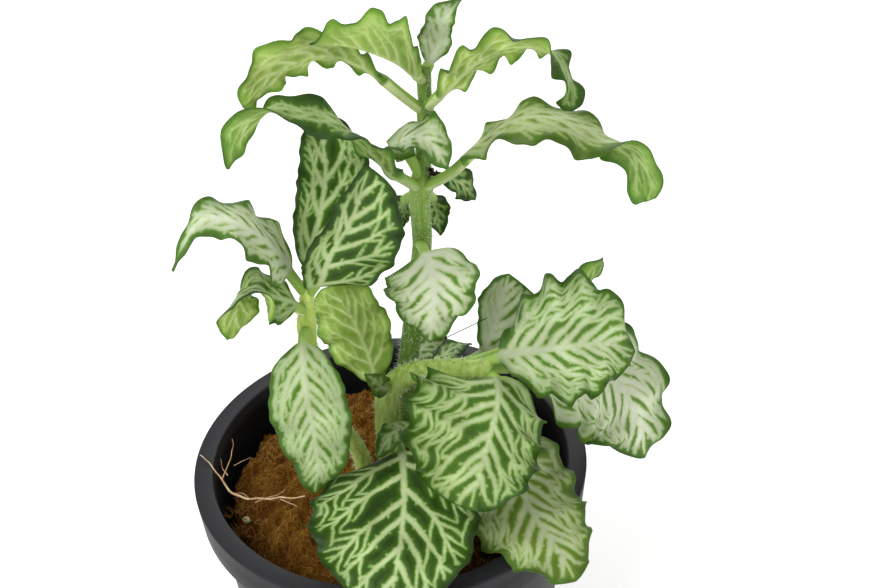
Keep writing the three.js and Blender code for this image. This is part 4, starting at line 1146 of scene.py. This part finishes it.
def add_leaf(name, leaf, seed):
    """A whole leaf: a flat slab of cells, bent along its rib and quilted between its veins."""
    columns, rows = leaf_cells[leaf["size"]]
    path = Path(leaf["rib"])
    full, stalk = leaf.get("full", usual_full), leaf["stalk"]
    blade = dict(length=path.length * (1 - stalk), bare=path.length * stalk, wide=leaf["wide"], full=full)
    shape = bmesh.new()
    bmesh.ops.create_grid(shape, x_segments=columns, y_segments=rows, size=1)
    bmesh.ops.solidify(shape, geom=shape.faces[:], thickness=1)
    flat = np.array([vert.co for vert in shape.verts])
    v, share = np.clip(flat[:, 0], -1, 1), np.clip((flat[:, 1] + 1) / 2, 0, 1)
    lower = flat[:, 2] < (flat[:, 2].min() + flat[:, 2].max()) / 2
    y = share * path.length - blade["bare"]
    half = np.array(leaf["wide"])[(v >= 0).astype(int)] * outline(y / blade["length"], full)
    net = vein_net(leaf, blade, np.random.default_rng(seed))
    sway = np.array([drift((a, b, seed), sway_length) for a, b in zip(v * half, y)])
    sideways = v * np.maximum(half, tip_half)
    veins = vein_distance(sideways + vein_sway * sway[:, 0], y + vein_sway * sway[:, 1], net)
    border = plain_border * vein_styles[leaf["look"]]["border"] * fineness(leaf["wide"])
    in_blade = smooth(y / (0.2 * blade["length"]))
    margin = half * (1 - np.abs(v))
    veins = np.maximum(veins, (border - margin) * in_blade - 3 * (1 - in_blade))
    places = leaf_places(leaf, path, share, v, lower, veins)
    stalks = 1 - smooth(y / (0.06 * blade["length"]) + 0.3)
    vein_layer = shape.verts.layers.float.new("vein_distance")
    stalk_layer = shape.verts.layers.float.new("stalk")
    margin_layer = shape.verts.layers.float.new("margin")
    for vert, spot, vein, bare, rim in zip(shape.verts, places, veins, stalks, margin):
        vert.co = spot
        vert[vein_layer] = vein
        vert[stalk_layer] = bare
        vert[margin_layer] = rim + 3 * bare
    under = {vert.index: low for vert, low in zip(shape.verts, lower)}
    for face in shape.faces:
        face.material_index = int(all(under[vert.index] for vert in face.verts))
    bmesh.ops.recalc_face_normals(shape, faces=shape.faces)
    # the top leaves get the lower face with painted backlight
    below = backlit_lower_face if name in backlit_leaves else lower_face
    add_piece(name + "_blade", shape, [leaf_faces[leaf["look"]], below], name)


for i, (name, leaf) in enumerate(leaves.items()):
    add_leaf(name, leaf, leaf_seed + i)

# ---- Loose root ----
# A pale, dry root that lies over the rim and runs down into the mix, with one branch and a few hair roots.
# It was pulled loose when the plant was potted, and only its ends touch the mix.

root_lines = [
    ([[-43.8, 4.4, 80.6], [-41.4, 1.2, 80.7], [-39.2, -1.8, 78.8], [-37, -4.9, 77.2], [-33, -7.8, 77.2],
      [-26, -10.6, 79], [-19.4, -12.4, 80.6]], [0.09, 0.12, 0.2, 0.26, 0.24, 0.2, 0.15]),
    ([[-38.8, -2.4, 78.4], [-37.4, 2.5, 78.6], [-36.6, 7, 79.2], [-36.8, 10, 80]], [0.15, 0.12, 0.08, 0.04]),
    ([[-37.4, -1.4, 78.5], [-38.6, 0.4, 79.6], [-38.9, 1.6, 81.2]], [0.1, 0.07, 0.04]),
    ([[-36.2, 1.8, 78.8], [-34, 2.4, 79.2], [-32.6, 4.2, 78.8]], [0.1, 0.07, 0.04]),
    ([[-36.4, -5.4, 76.8], [-34.4, -5, 76], [-32.8, -6.2, 75.6]], [0.12, 0.09, 0.05]),
    ([[-31, -9.4, 76.9], [-28.4, -8.4, 77.3], [-26.2, -8.8, 78.2], [-24.2, -8.2, 79]],
     [0.12, 0.09, 0.07, 0.04]),
    ([[-25, -11.2, 78.9], [-22.8, -12.6, 79.3], [-21, -14.8, 79.4]], [0.1, 0.07, 0.04]),
]

# Dry root bark: matt and straw-coloured, browner in places.
dry_root = drifting_material("dry_pale_root", 2, 4, [(0.3, "#a98055"), (0.5, "#c7a57c"), (0.7, "#dccbab")],
                             roughness=0.8)

root_sway = 0.4  # mm that the root wanders, over lengths of about 3 mm
root_sway_length = 3
root_strands = []
for line, radius in root_lines:
    path = Path(line)
    share = np.linspace(0, 1, 40)
    wander = np.array([drift(p, root_sway_length) for p in path.at(share)]) * root_sway
    widths = path.at(share, np.interp(path.knot, range(len(radius)), radius))
    root_strands.append((path.at(share) + wander, widths, 0))
add_strands("loose_root_strand", root_strands, [dry_root], sides=3, node="loose_root")
